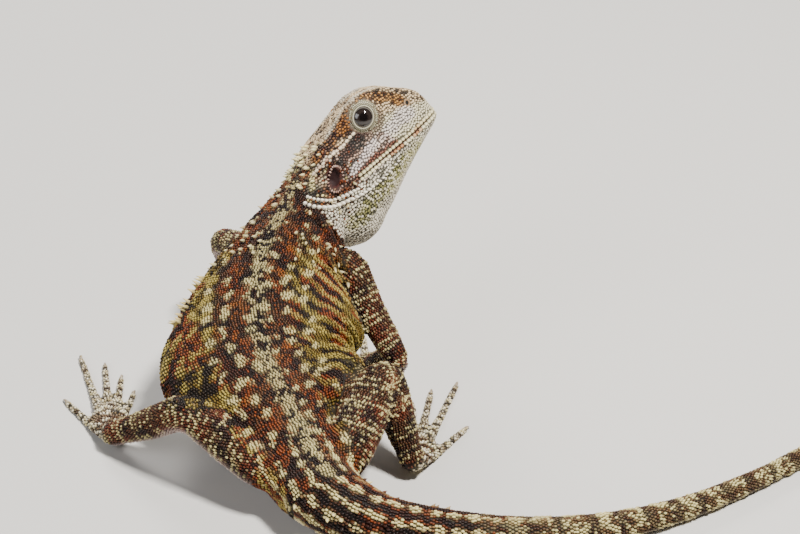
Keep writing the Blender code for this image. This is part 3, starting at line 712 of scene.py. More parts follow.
def paint_trunk(one):
    """Cream spots in rows on rust, dark blotches between; streaks right, ringed spots left.

    Here side is positive on the right. Both coordinates are warped by noise of a few millimetres.
    """
    along, side, place = one["along"], -one["side"], one["place"]
    lateral, wide = np.abs(one["ring"] - 0.5) * 2, np.abs(side)
    rough, grain = noise(place, 1.6, 1) - 0.5, speckle(one, 61)
    warped = along + 2.6 * (noise(place, 6.0, 21) - 0.5) + 1.2 * rough
    shifted = side + 2.2 * (noise(place, 5.0, 22) - 0.5)
    slant = np.column_stack([along + 0.9 * wide, 0.42 * side, 0 * side])
    edges = np.abs(noise(slant, 2.7, 24) + 0.45 * (noise(place, 1.5, 25) - 0.5) - 0.5)
    network = np.maximum(step(0.08, 0.02, edges - 0.05 * grain),
                         step(0.62, 0.72, noise(slant, 1.9, 4) + 0.2 * grain))
    right = step(5.0, 7.5, side + 2 * rough) * step(4, 12, along) * step(66, 56, along)
    # On the right flank the fold wave is painted: dark streaks in the furrows, partly markings and
    # partly painted shade, and paler colour on the crests, partly markings and partly painted
    # light.
    wave = flank_wave(along, wide, place) + 0.55 * grain
    streaks = step(-0.05, -0.5, wave) * step(0.30, 0.44, noise(place, 3.0, 30) + 0.2 * grain)
    broken = step(0.40, 0.58, noise(place, 2.3, 29) + 0.25 * grain)
    left = step(6.5, 9.5, -side + 2 * rough) * step(66, 56, along)
    net = step(0.085, 0.035, np.abs(noise(place, 3.2, 28) - 0.5 + 0.06 * grain))
    rings = spots(warped - 0.45 * shifted, -shifted, 4.2, FLANK_COLUMNS, 2.3, 17, 0.84)
    rings = rings - 0.45 * net + 0.35 * rough + 0.3 * grain
    spot = spots(warped, shifted, 4.0, BACK_COLUMNS, 1.22, 7) + 0.7 * rough + 0.5 * grain
    rim = step(-0.8, -0.3, spot) * step(0.05, -0.1, spot)
    loin = step(15, 6, along)
    lines = (0.75 * np.cos(2 * np.pi * shifted / 3.5) - 0.1 + 0.9 * rough + 0.3 * grain
             + 0.3 * np.sin(1.7 * warped))
    spot = (spot - 0.35 * step(50, 58, along)) * (1 - loin) + lines * loin
    back = step(10.5, 7.5, wide + 2 * rough)
    neck = step(50, 60, along) * step(0.25, 0.5, lateral)
    return layered(
        mix(RUST, BROWN, step(0.32, 0.60, noise(place, 2.6, 3) + 0.5 * grain)),
        (ORANGE, step(0.56, 0.75, noise(place, 2.4, 23)) * 0.6),
        (srgb(112, 84, 58), step(5.0, 2.5, wide + rough) * (0.5 + 0.5 * grain)),
        (DARK, network * 0.78),
        (mix(OLIVE, RUST, step(0.5, 0.68, noise(place, 3.0, 8))), right * 0.9),
        # Dark streaks in the fold furrows: partly markings, partly painted shade.
        (DARK, streaks * right * 0.88),
        # Paler olive and yellow on the fold crests: partly markings, partly painted light.
        (mix(OLIVE, YELLOW * 0.8, 0.25 + 0.75 * broken), step(0.1, 0.7, wave) * right * 0.8),
        (mix(OLIVE, RUST, step(0.36, 0.50, noise(place, 4.0, 26))), left * 0.9),
        (DARK, left * step(0.04, -0.18, rings) * 0.88),
        (YELLOW * 0.8, left * step(0.2, 0.5, rings) * 0.85),
        (DARK, rim * back * step(0.44, 0.56, noise(place, 1.8, 27)) * 0.8),
        (CREAM * (0.86 + 0.14 * loin[:, None]),
         step(0.0, 0.55, spot) * step(12.5, 10, wide) * 0.92),
        (mix(CREAM * 0.8, DARK, step(0.45, 0.6, noise(place, 1.1, 5) + 0.5 * grain)),
         step(2.0, 0.8, wide + 1.4 * rough) * 0.8),
        (BROWN * 0.8, neck * step(0.35, 0.6, noise(place, 2.0, 9)) * 0.7),
        (mix(LILAC, srgb(206, 196, 156), step(44, 54, along)),
         step(0.64, 0.76, lateral + 0.1 * rough) * 0.85))


def paint_tail(one):
    """Cream columns, dark lines and a rust side near the root, then speckled with narrow bands."""
    along, side, place = one["along"], one["side"], one["place"]
    rough, grain = noise(place, 1.4, 11) - 0.5, speckle(one, 62)
    dashes = wave_of(along, 3.7, 2.0 * rough + np.round(side / 3.3) * 1.9)
    value = np.cos(2 * np.pi * side / 3.3) + 0.5 * dashes + 1.1 * rough + 0.6 * grain
    root = step(46, 22, along + 9 * rough)
    stripe = step(1.8, 2.8, side + 1.6 * rough) * step(5.6, 4.6, side + 1.6 * rough) * root
    band = mix(mix(BROWN, ORANGE, 0.35 + grain), DARK, step(0.05, 0.45, rough + 0.8 * grain) * 0.7)
    pale_line = step(4.9, 5.5, side + 0.8 * rough) * step(7.0, 6.2, side + 0.8 * rough) * root
    near_root = layered(
        mix(BROWN, RUST, step(0.4, 0.7, noise(place, 3.0, 12))),
        (DARK, step(0.0, -0.6, value) * 0.85),
        (CREAM, step(0.25, 0.85, value)),
        (band, stripe * 0.72),
        (CREAM, pale_line * step(-0.25, 0.15, grain + rough) * 0.8))
    bands = wave_of(along, 5.6, 2.2 * rough) + 0.6 * grain
    flecks = step(0.40, 0.62, noise(place, 1.1, 16) + 0.55 * grain)
    speckled = mix(CREAM * 0.92, BROWN, flecks * 0.9)
    banded = mix(speckled, mix(BROWN, DARK, 0.5 + rough), step(0.15, 0.7, bands) * 0.8)
    return layered(near_root, (banded, step(26, 50, along)),
                   (WHITE * 0.8, step(0.62, 0.82, np.abs(one["ring"] - 0.5) * 2) * 0.7))


def paint_limb(one):
    """Brown with a rust tinge, crossed by fine cream ticks that slant, pale below."""
    along, side, place = one["along"], one["side"], one["place"]
    rough, grain = noise(place, 1.5, 31) - 0.5, speckle(one, 63)
    ticks = wave_of(along, 1.35, 1.6 * rough + 0.9 * side)
    bars = wave_of(along, 5.0, 3.0 * rough + 0.3 * side)
    pale = step(0.0, 0.9, 0.62 * ticks + 0.4 * bars + 0.8 * rough + 1.2 * grain - 0.08)
    return layered(
        BROWN * 0.9,
        (CHESTNUT, step(0.3, 0.65, noise(place, 3.4, 32) + 0.3 * grain) * 0.8),
        (DARK, step(0.5, 0.66, noise(place, 1.8, 33) + 0.35 * grain) * 0.75),
        (CREAM * 0.9, pale * 0.85),
        (LILAC, step(0.66, 0.82, np.abs(one["ring"] - 0.5) * 2) * 0.8))


def paint_toe(one):
    """Whitish toes with small dark bars, browner on the foot."""
    along, place, grain = one["along"], one["place"], speckle(one, 64)
    bands = wave_of(along, 2.5, 2.0 * (noise(place, 1.2, 41) - 0.5))
    return layered(
        mix(WHITE, CREAM, 0.5 + grain),
        (DARK, step(0.25, 0.7, bands + 0.6 * grain) * 0.85),
        (BROWN, step(0.36, 0.56, noise(place, 1.3, 42) + 0.35 * grain)
         * (0.40 + 0.45 * step(13, 5, along))))


def near_line(points, line):
    """The distance of each point from a line of places, in three dimensions."""
    line = np.asarray(line, float)
    best = np.full(len(points), 1e9)
    for start, end in zip(line[:-1], line[1:]):
        run = end - start
        share = np.clip((points - start) @ run / (run @ run), 0, 1)
        best = np.minimum(best, np.linalg.norm(points - start - share[:, None] * run, axis=1))
    return best


# Bands on the head: where each ends, where it is full, how ragged its edge is, and its line.
HEAD_BANDS = {
    "brow": (1.15, 0.6, 0.5, ((6.6, 2.4, 10.2), (10.5, 2.4, 12.9), (14.0, 1.6, 13.2),
                              (17.6, 3.8, 12.0), (20.6, 4.9, 10.8))),
    "eye_patch": (1.5, 0.95, 0.8, ((4.6, 3.9, 7.2), (7.1, 4.6, 9.8), (9.0, 5.1, 11.4),
                                   (11.0, 4.7, 12.4), (13.6, 3.9, 12.4), (15.4, 4.9, 11.7),
                                   (16.6, 6.4, 10.4), (17.2, 7.1, 8.6))),
    "before_eye": (2.0, 1.1, 1.0, ((4.8, 4.9, 4.0), (10.6, 7.2, 4.6))),
    "snout_streak": (0.75, 0.35, 0.5, ((6.4, 5.6, 4.9), (10.2, 7.2, 6.6))),
    "temple": (3.1, 2.3, 1.2, ((16.0, 7.3, 6.2), (19.9, 8.3, 5.8), (23.6, 9.0, 5.4))),
    "cheek": (3.4, 2.4, 1.0, ((13.5, 7.8, 2.8), (22.5, 9.8, 0.6))),
    "jaw_streak": (1.2, 0.6, 0.7, ((27.1, 9.6, 1.4), (23.4, 9.2, 1.4), (19.5, 9.7, 2.3),
                                   (14.7, 8.1, 1.8), (10.8, 7.1, 1.2))),
    "pale_streak": (1.0, 0.5, 0.6, ((14.6, 7.0, 4.4), (19.0, 9.2, 3.6), (23.4, 10.0, 2.6))),
    "ochre": (1.8, 1.2, 1.0, ((14.4, 5.9, 12.0), (19.0, 6.1, 10.1), (25.0, 6.4, 8.9))),
    "ridge": (1.1, 0.6, 0.4, RIDGE),
    "below_ear": (2.4, 1.4, 1.0, ((24.0, 10.0, 1.8), (30.0, 9.8, 3.2))),
    "throat_net": (3.2, 1.4, 1.2, ((13.0, 7.4, -1.8), (18.5, 8.6, -3.2), (24.0, 8.8, -5.0))),
    "throat_tinge": (2.8, 1.0, 1.6, ((7.0, 4.0, -2.4), (20.0, 8.6, -4.5), (27.0, 8.0, -5.0)))}


def paint_head(one):
    """Crown, brow, eye patch, temple, cheek, lips and throat, each by its place on the head."""
    place = one["place"]
    both = both_of(place)
    behind, out, up = both.T
    grain, rough = speckle(one, 65), noise(place, 1.6, 52) - 0.5
    over = up - mouth_at(behind)
    band = {name: step(far, full, near_line(both, line) + ragged * rough)
            for name, (far, full, ragged, line) in HEAD_BANDS.items()}
    top = step(0.56, 0.74, up / np.interp(behind, (0, 12, 27), (5, 12.6, 9.0)))
    tan = mix(srgb(172, 124, 58), BROWN, step(0.0, 0.3, grain + 0.6 * rough))
    under_eye = step(0.8, 0.4, np.abs(np.hypot(behind - EYE_AT[0], up - EYE_AT[2]) - 3.5))
    under_eye = under_eye * step(9, 7, up) * (out > 5)
    rays = np.sin(13.0 * np.arctan2(up - 4.0, behind - 26.5) + 2.0 * rough)
    cheek = band["cheek"] * (1 - band["temple"])
    lines = wave_of(up + 0.16 * behind, 1.55, 1.2 * rough)
    throat = mix(WHITE * 0.92, GREY, step(0.52, 0.70, noise(place, 1.1, 56) + 0.4 * grain) * 0.35)
    nape = step(25.0, 29.0, behind + 2.5 * rough) * step(0, 3, up)
    return layered(
        np.tile(srgb(214, 206, 180), (len(place), 1)),
        (srgb(212, 190, 158), top * 0.9),
        (BROWN, top * step(0.5, 0.7, noise(place, 1.7, 54)) * 0.45),
        (DARK, top * step(0.20, 0.30, grain + 0.3 * rough) * 0.85),
        (WHITE, band["brow"] * 0.6),
        (tan, band["eye_patch"] * (0.85 + 0.3 * grain)),
        (srgb(218, 208, 206), band["before_eye"] * 0.7),
        (BROWN, band["snout_streak"] * 0.85),
        (BROWN * 0.8, under_eye * 0.6),
        (mix(MAROON, DARK, step(0.35, 0.6, noise(place, 1.2, 55))), band["temple"] * 0.92),
        (srgb(206, 178, 158), band["temple"] * step(0.6, 1.0, rays + 0.5 * grain) * 0.65),
        (srgb(212, 194, 186), cheek * 0.8),
        (BROWN, cheek * step(0.35, 0.85, lines) * step(0.9, 1.4, over) * 0.7),
        (CHESTNUT, band["jaw_streak"] * 0.85),
        (srgb(222, 210, 204), band["pale_streak"] * 0.85),
        (mix(srgb(160, 110, 56), MAROON, step(-0.1, 0.15, grain + rough)), band["ochre"] * 0.85),
        (srgb(222, 204, 184), band["ridge"] * 0.9),
        (BROWN, band["below_ear"] * 0.7),
        (throat, step(-0.6, -1.3, over + 0.5 * rough)),
        (srgb(52, 50, 32), band["throat_net"] * step(-0.05, 0.15, grain + 0.7 * rough) * 0.85),
        (srgb(186, 182, 112), band["throat_tinge"] * (over < -0.8) * (0.35 + 0.5 * grain)),
        (mix(RUST, DARK, step(0.42, 0.6, noise(place, 1.8, 57))), nape * 0.85),
        (CREAM, nape * step(0.62, 0.7, noise(place, 1.6, 58)) * 0.9))


def paint_row(key, one):
    """Colours of a single row on the head."""
    head = from_head(one["place"])
    behind, grain = head[:, 0], speckle(one, 66)
    if key == "upper_lip":
        marks = step(0.62, 0.75, noise(head * (1, 0, 0), 2.4, 71))
        marks = marks * step(3, 5, behind) * step(19, 15, behind)
        return mix(srgb(214, 202, 160), ORANGE, marks * 0.8)
    if key == "lower_lip":
        marks = np.maximum(step(1.3, 0.6, np.abs(behind - 6.0)),
                           step(2.1, 1.2, np.abs(behind - 11.6)))
        return mix(srgb(216, 206, 170), srgb(168, 100, 50), marks * 0.85)
    if key == "ear_rim":
        return mix(srgb(176, 146, 132), srgb(132, 96, 80), 0.5 + grain)
    if key == "ridge":
        return mix(srgb(214, 194, 166), srgb(178, 140, 116), step(0.1, 0.4, grain))
    return np.tile(WHITE, (len(behind), 1))


for name, one in coat.items():
    painter = {"head": paint_head, "trunk": paint_trunk, "tail": paint_tail}.get(
        name, paint_toe if name.startswith("toe") else paint_limb)
    power = DEEPEN_HEAD if name == "head" else DEEPEN
    one["colour"] = np.clip(painter(one), 0.002, 1.0) ** power
    one["colour"] *= (0.86 + 0.28 * (speckle(one, 3) + 0.5))[:, None]
for key, one in rows.items():
    one["colour"] = np.clip(paint_row(key, one), 0.002, 1.0)


# %% [markdown]
# ## Shapes of the scales
# A scale is a low closed dome with a keel that ends in a point towards the tail. One small set of
# corners is copied to every root by arrays.


# %% Scale shapes
def grid_faces(count, around, closed=False):
    """Triangles between rings of points: each ring closes on itself, and the last on the first
    if the whole is closed."""
    i, j = np.meshgrid(np.arange(count if closed else count - 1), np.arange(around), indexing="ij")
    row, next_row, beside = i * around, (i + 1) % count * around, (j + 1) % around
    a, b, c, d = row + j, row + beside, next_row + beside, next_row + j
    return np.concatenate([np.stack([a, b, c], -1).reshape(-1, 3),
                           np.stack([a, c, d], -1).reshape(-1, 3)])


def tube_faces(count, around):
    """Triangles of a tube of rings, closed at its start and its end by one more point each."""
    k, start = np.arange(around), count * around
    after, last = (k + 1) % around, start - around
    return np.vstack([grid_faces(count, around),
                      np.column_stack([after, k, np.full(around, start)]),
                      np.column_stack([k + last, after + last, np.full(around, start + 1)])])


def scale_shape(point=0.66, keel=1.0, rise=0.62):
    """Corners, triangles and rim weights of a keeled scale, one unit long and one unit wide.

    x runs the way the scale lies, y across it and z outwards. The first ring sinks into the skin.
    """
    ring = [(point, 0.0), (0.26, 0.44), (-0.30, 0.42), (-0.56, 0.0), (-0.30, -0.42), (0.26, -0.44)]
    base = [(x, y, -0.45) for x, y in ring]
    shoulder = [(0.74 * x, 0.74 * y, rise) for x, y in ring]
    ridge = [(-0.22, 0.0, 0.86 + 0.10 * keel), (0.28, 0.0, 0.86 + 0.34 * keel)]
    faces = np.vstack([[(0, 5, 1), (1, 5, 4), (1, 4, 2), (2, 4, 3)], grid_faces(2, 6),
                       [(6, 7, 13), (7, 8, 13), (8, 12, 13), (8, 9, 12), (9, 10, 12), (10, 13, 12),
                        (10, 11, 13), (11, 6, 13)]])
    # Rim weights: full painted shade on the sunken base ring, less on the shoulder, and a painted
    # highlight on the keel.
    return np.array(base + shoulder + ridge), faces, np.repeat((1.0, 0.35, 0.0), (6, 6, 2))


def spine_shape(sides=6):
    """A cone that leans back to a point, one unit long and one unit wide at its root."""
    turn = np.linspace(0, 2 * np.pi, sides, endpoint=False)
    points = [(lean + size * math.cos(t), size * math.sin(t), out) for out, lean, size in
              ((-0.30, -0.05, 0.52), (0.25, 0.05, 0.46), (0.62, 0.22, 0.26)) for t in turn]
    points += [(-0.05, 0.0, -0.35), (0.55, 0.0, 1.0)]
    # Rim weights: painted shade on the root ring and the base point, and a painted highlight on the
    # upper ring and the tip.
    rim = np.repeat((1.0, 0.3, 0.0, 1.0, 0.0), (sides, sides, sides, 1, 1))
    return np.array(points), tube_faces(3, sides), rim


# Keel and tip are lighter: partly their paler colour, partly a painted highlight.
TIP_PALE_AND_HIGHLIGHT = 0.34             # how much lighter the keel and the tip are
BAKE_PATCH = 0.003 / 1.3     # size on the bake map of one unit of a shape


def laid(shape, roots, length, width, height, rim_painted_shade):
    """One shape at every root: corners, triangles, colours and the bake map's places."""
    points, faces, rim = shape
    out = roots["normal"]
    lie = unit(roots["lie"] - out * np.sum(roots["lie"] * out, axis=1)[:, None])
    across = np.cross(out, lie)
    corners = roots["place"][:, None] + sum(
        size[:, None, None] * points[None, :, k:k + 1] * way[:, None]
        for k, (size, way) in enumerate(((length, lie), (width, across), (height, out))))
    corners[..., 2] = np.maximum(corners[..., 2], 0.0)
    triangles = faces[None] + (np.arange(len(out)) * len(points))[:, None, None]
    # Painted shade darkens each scale towards its rim, where it sinks into the skin. The keel and
    # tip are lighter, partly paler colour and partly a painted highlight.
    shade = 1 - (1 - rim_painted_shade) * rim + TIP_PALE_AND_HIGHLIGHT * (rim == 0)
    colours = roots["colour"][:, None] * shade[None, :, None]
    places = roots["bake"][:, None] + points[None, :, :2] * BAKE_PATCH
    return (corners.reshape(-1, 3), triangles.reshape(-1, 3), colours.reshape(-1, 3),
            places.reshape(-1, 2))


def built(name, points, faces, material, colours=None, places=None):
    """A mesh object in metres, with its colours (markings, with painted shade and highlights on
    scales, skin and lids) as a colour attribute and its bake map.
    """
    mesh = bpy.data.meshes.new(name)
    mesh.vertices.add(len(points))
    mesh.vertices.foreach_set("co", ((np.asarray(points) + SHIFT) * MM).ravel())
    mesh.loops.add(faces.size)
    mesh.loops.foreach_set("vertex_index", faces.ravel().astype(np.int32))
    mesh.polygons.add(len(faces))
    mesh.polygons.foreach_set("loop_start", np.arange(0, faces.size, 3, dtype=np.int32))
    mesh.update(calc_edges=True)
    mesh.polygons.foreach_set("use_smooth", np.full(len(faces), True))
    if colours is not None:
        marks = mesh.attributes.new("marks", "FLOAT_COLOR", "POINT")
        four = np.column_stack([colours, np.ones(len(colours))])
        marks.data.foreach_set("color", four.ravel().astype(np.float32))
    if places is not None:
        layer = mesh.uv_layers.new(name="OFBake")
        layer.data.foreach_set("uv", places[faces.ravel()].ravel().astype(np.float32))
    mesh.validate()
    mesh.materials.append(material)
    return linked(name, mesh)


# %% [markdown]
# ## Materials
# Scales, skin and eyes read their colour from the marks, which on scales, skin and lids also hold
# painted shade and highlights. A shared node group gives the fine grain that breaks up the shine.


# %% Materials
GRAIN_SCALE, GRAIN_HEIGHT = 2600.0, 0.00008


def grain_group():
    """A shader group that gives a normal bumped by fine grain."""
    group = bpy.data.node_groups.new("grain", "ShaderNodeTree")
    group.interface.new_socket("Normal", in_out="OUTPUT", socket_type="NodeSocketVector")
    result = group.nodes.new("NodeGroupOutput")
    place = group.nodes.new("ShaderNodeTexCoord")
    grain = group.nodes.new("ShaderNodeTexNoise")
    grain.inputs["Detail"].default_value = 2.0
    grain.inputs["Scale"].default_value = GRAIN_SCALE
    bump = group.nodes.new("ShaderNodeBump")
    bump.inputs["Strength"].default_value = 0.35
    bump.inputs["Distance"].default_value = GRAIN_HEIGHT
    group.links.new(place.outputs["Object"], grain.inputs["Vector"])
    group.links.new(grain.outputs["Fac"], bump.inputs["Height"])
    group.links.new(bump.outputs["Normal"], result.inputs["Normal"])
    return group


GRAIN = grain_group()


def finish(name, rough, gloss, colour=None, coat=0.0):
    """A material of one even colour or, without one, of the marks with grain in the normal."""
    material = bpy.data.materials.new(name)
    material.use_nodes = True
    tree = material.node_tree
    shader = tree.nodes["Principled BSDF"]
    for key, value in (("Roughness", rough), ("Specular IOR Level", gloss), ("Coat Weight", coat)):
        shader.inputs[key].default_value = value
    if colour is not None:
        shader.inputs["Base Color"].default_value = (*colour, 1.0)
        return material
    marks = tree.nodes.new("ShaderNodeAttribute")
    marks.attribute_name = "marks"
    grain = tree.nodes.new("ShaderNodeGroup")
    grain.node_tree = GRAIN
    tree.links.new(marks.outputs["Color"], shader.inputs["Base Color"])
    tree.links.new(grain.outputs["Normal"], shader.inputs["Normal"])
    return material


SCALE_FINISH = finish("scales", 0.45, 0.25)
SKIN_FINISH = finish("skin", 0.7, 0.25)
EYE_FINISH = finish("eye", 0.06, 0.6, coat=0.3)
CLAW_FINISH = finish("claw", 0.35, 0.5, srgb(146, 130, 108))


# %% [markdown]
# ## The bake map
# Each length of the body has a tile of the unit square. A scale's place in it is how far along and
# how far round its length the scale is rooted.


# %% Bake map
TILES = {"trunk": (0.005, 0.005, 0.40, 0.62), "tail": (0.005, 0.63, 0.62, 0.995),
         "head": (0.41, 0.005, 0.62, 0.62)}
for k, name in enumerate(LIMBS):
    TILES[name] = (0.63, 0.005 + 0.16 * k, 0.82, 0.155 + 0.16 * k)
for k, hand in enumerate(HANDS):
    left, low_edge = 0.83 + 0.085 * (k % 2), 0.005 + 0.098 * (k // 2)
    TILES["toe_%s_%d" % hand] = (left, low_edge, left + 0.08, low_edge + 0.092)

for name, one in coat.items():
    left, low_edge, far, high_edge = TILES[name]
    one["bake"] = np.column_stack([left + (far - left) * one["share"],
                                   low_edge + (high_edge - low_edge) * one["ring"]])

main = joined(list(coat.values()), ("place", "lie", "colour", "bake"))
part_number = np.concatenate([np.full(len(one["place"]), k) for k, one in enumerate(coat.values())])
main_tree = tree_of(main["place"])


def borrowed(roots, keys):
    """Values for the roots, averaged by nearness over up to three scales of the nearest length."""
    for key in keys:
        roots[key] = np.zeros((len(roots["place"]), main[key].shape[-1]))
    for k, point in enumerate(roots["place"]):
        hits = main_tree.find_n(point, 3)
        hits = [hit for hit in hits if part_number[hit[1]] == part_number[hits[0][1]]]
        weight = np.array([1 / (hit[2] + 0.05) for hit in hits])
        for key in keys:
            roots[key][k] = weight @ main[key][[hit[1] for hit in hits]] / weight.sum()
    return roots


for row in rows.values():
    borrowed(row, ("bake",))


# %% [markdown]
# ## The coat
# Every root carries one scale. Eyes, ears, nostrils and the line of the mouth stay clear. Places on
# the skin that no row reached, as between limb and trunk, are filled with scales of their own.


# %% Scales of the coat
EYE_CLEAR, ROW_CLEAR, NOSTRIL_CLEAR, MOUTH_CLEAR = 3.34, 3.7, 0.85, 0.38
FILL_PITCH, BARE_FROM = 0.60, 0.50


def ear_depth(places):
    """How deep inside the oval of an ear each place lies: 1 in its middle, 0 on its edge."""
    behind, out, up = (both_of(places) - EAR_AT * (1, 0, 1)).T
    across = behind * math.cos(EAR_LEAN) - up * math.sin(EAR_LEAN)
    upright = behind * math.sin(EAR_LEAN) + up * math.cos(EAR_LEAN)
    return np.where(out > 6.5, 1 - np.hypot(across / EAR_RADII[0], upright / EAR_RADII[1]), -1.0)


def from_eye(places):
    """Distance from the middle of the nearer eye."""
    return np.linalg.norm(both_of(places) - EYE_AT, axis=1)


def clear_places(places):
    """True for places clear of the eyes, ears, nostrils and mouth line."""
    nostril = np.linalg.norm(both_of(places) - NOSTRIL_AT, axis=1) > NOSTRIL_CLEAR
    return ((from_eye(places) > EYE_CLEAR) & nostril & (ear_depth(places) < 0)
            & (gap_to(slit_tree, places) > MOUTH_CLEAR))


for name in ("head", "trunk"):
    coat[name] = chosen(coat[name], clear_places(coat[name]["place"]))
for key in ("ridge", "ear_rim"):
    rows[key] = chosen(rows[key], from_eye(rows[key]["place"]) > ROW_CLEAR)

covered = tree_of(np.vstack([one["place"] for one in (*coat.values(), *rows.values())]))
bare = np.flatnonzero((gap_to(covered, skin_points) > BARE_FROM) & (skin_points[:, 2] > 0.5))
bare = bare[clear_places(skin_points[bare])]
bare = bare[np.argsort(chance(bare, 5))]
held, cells = [], {}
for point in skin_points[bare]:
    cell = tuple(np.floor(point / FILL_PITCH).astype(int))
    close = [other for shift in product((-1, 0, 1), repeat=3)
             for other in cells.get(tuple(np.add(cell, shift)), ())]
    if all(np.linalg.norm(point - other) > FILL_PITCH for other in close):
        cells.setdefault(cell, []).append(point)
        held.append(point)
fill = on_skin({"place": np.array(held).reshape(-1, 3)})
fill["pitch"] = np.full(len(held), FILL_PITCH)
coat["fill"] = borrowed(fill, ("lie", "colour", "bake"))
print("scales that fill bare places:", len(held))

KEELED, BEAD, SPINE = scale_shape(), scale_shape(point=0.56, keel=0.1, rise=0.74), spine_shape()
PIECE_TRIANGLES = 192000
KEPT = ("place", "normal", "lie", "colour", "bake", "pitch")     # what a scale is made from
# How strongly chance varies the size of scales, and how much larger and higher pale ones are.
SIZE_LEAST, SIZE_CHANCE, SIZE_PALE = 0.88, 0.16, 0.14
HEIGHT_LEAST, HEIGHT_PALE = 0.85, 0.35
# Spines on the flank stand in rows: their place between back and belly, and their share.
FRINGE_ROWS, FRINGE_FROM, FRINGE_TO = ((0.42, 0.36), (0.48, 0.30)), 12, 54
FRINGE_LEFT, FRINGE_LEFT_NECK = 0.12, 0.9     # on the left flank, and added to it at the neck
ELBOW_FOLD, FOLD_REACH = np.array((7.8, 26.0, 19.5)), 7.0
NAPE_SHARE, CROWN_SHARE, TAIL_SHARE = 0.03, 0.10, 0.06


# The rim value is the share of a scale's colour that is left at its rim by the painted shade.
def dress(group, roots, shape, height, length=1.12, width=1.04, rim_painted_shade=0.16):
    """A scale at every root, in pieces under PIECE_TRIANGLES. Sizes are shares of the pitch."""
    count = len(roots["place"])
    parts = max(1, math.ceil(count * len(shape[1]) / PIECE_TRIANGLES))
    pale = step(0.12, 0.45, roots["colour"][:, 1])
    varied = SIZE_LEAST + SIZE_CHANCE * chance(np.arange(count), 8) + SIZE_PALE * pale
    size = roots["pitch"] * varied
    for k in range(parts):
        mask = np.arange(count) * parts // count == k
        points, faces, colours, places = laid(
            shape, chosen(roots, mask), (length * size)[mask], (width * size)[mask],
            (height * size * (HEIGHT_LEAST + HEIGHT_PALE * pale))[mask], rim_painted_shade)
        piece = built("scales_%s_%d" % (group, k + 1), points, faces, SCALE_FINISH, colours, places)
        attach(piece, "root")
        print(piece.name, len(faces), "triangles")


def parted(roots, mask, colour=None, share=0.0):
    """The roots where the mask is true, with a tint mixed in, and the others."""
    first = chosen(roots, mask)
    if colour is not None:
        first["colour"] = mix(first["colour"], colour, np.full(mask.sum(), share))
    return first, chosen(roots, ~mask)


trunk, number = coat["trunk"], np.arange(len(coat["trunk"]["place"]))
along, lateral = trunk["along"], np.abs(trunk["ring"] - 0.5) * 2
nape = ((along > FRINGE_TO) & (lateral > 0.1) & (lateral < 0.62)
        & (chance(number, 13) < NAPE_SHARE))
# The spines of the flank leave out the fold between belly and right elbow.
fringe = np.zeros(len(number), bool)
for row_at, share in FRINGE_ROWS:
    in_row = np.abs(lateral - row_at) * trunk["arc"] / 2 < 0.5 * trunk["pitch"]
    left_share = FRINGE_LEFT + FRINGE_LEFT_NECK * step(42, 46, along)
    share = share * np.where(trunk["side"] < 0, 1.0, left_share)
    fringe |= in_row & (chance(number, 12) < share) & (along > FRINGE_FROM) & (along < FRINGE_TO)
fringe &= np.linalg.norm(trunk["place"] - ELBOW_FOLD, axis=1) > FOLD_REACH
nape_spines, trunk = parted(trunk, nape, CREAM, 0.6)
flank_spines, trunk = parted(trunk, fringe[~nape], srgb(208, 190, 130), 0.75)
head = from_head(coat["head"]["place"])
throat, upper = parted(coat["head"], head[:, 2] < mouth_at(head[:, 0]) - 0.3)
head = from_head(upper["place"])
crest = ((head[:, 0] > 23.5) & (head[:, 2] > 5.5)
         & (chance(np.arange(len(head)), 14) < CROWN_SHARE))
crown_spines, upper = parted(upper, crest, CREAM, 0.8)
round_tail = np.abs(coat["tail"]["ring"] - 0.5)
spiny = (round_tail > 0.12) & (round_tail < 0.3) & (coat["tail"]["along"] < 26)
spiny &= chance(np.arange(len(spiny)), 15) < TAIL_SHARE
tail_spines, tail = parted(coat["tail"], spiny)

lips = joined([rows[key] for key in ("upper_lip", "ridge", "ear_rim")], KEPT)
limbs = joined([coat[name] for name in LIMBS], KEPT)
toes = joined([coat["toe_%s_%d" % hand] for hand in HANDS], KEPT)
dress("head", upper, BEAD, 0.34, 1.0, 0.94)
dress("lips", lips, BEAD, 0.34, 1.10, 0.90)
dress("chin", rows["lower_lip"], BEAD, 0.34, 1.10, 0.90)
# The throat's scales get deeper painted shade at their rims.
dress("throat", throat, BEAD, 0.32, 0.98, 0.92, 0.10)
dress("trunk", trunk, KEELED, 0.48)
dress("tail", tail, KEELED, 0.50)
dress("limbs", limbs, KEELED, 0.52)
dress("toes", toes, BEAD, 0.46)
dress("fill", coat["fill"], KEELED, 0.40)
dress("beard", joined([rows["beard"], rows["second_beard"]], KEPT), SPINE, 0.85, 1.05, 1.0)
dress("fringe", flank_spines, SPINE, 2.4, 1.5, 0.8)
dress("crest", joined([nape_spines, tail_spines], KEPT), SPINE, 1.7, 1.6, 1.1)
dress("crown", crown_spines, SPINE, 1.25, 1.2, 0.85)

# %% Colours, painted shade and hollows of the skin
SKIN_PAINTED_SHADE, EAR_SINK, MOUTH_SINK = 0.15, 0.55, 0.10
whole = joined([*coat.values(), *rows.values()], ("place", "colour"))
near = tree_of(whole["place"])
found = [near.find(point) for point in skin_points]
away = np.array([hit[2] for hit in found])
print("skin further than 1.2 mm from any scale: %.1f %%" % (100 * np.mean(away > 1.2)))
deep, mouth = ear_depth(skin_points), gap_to(slit_tree, skin_points)
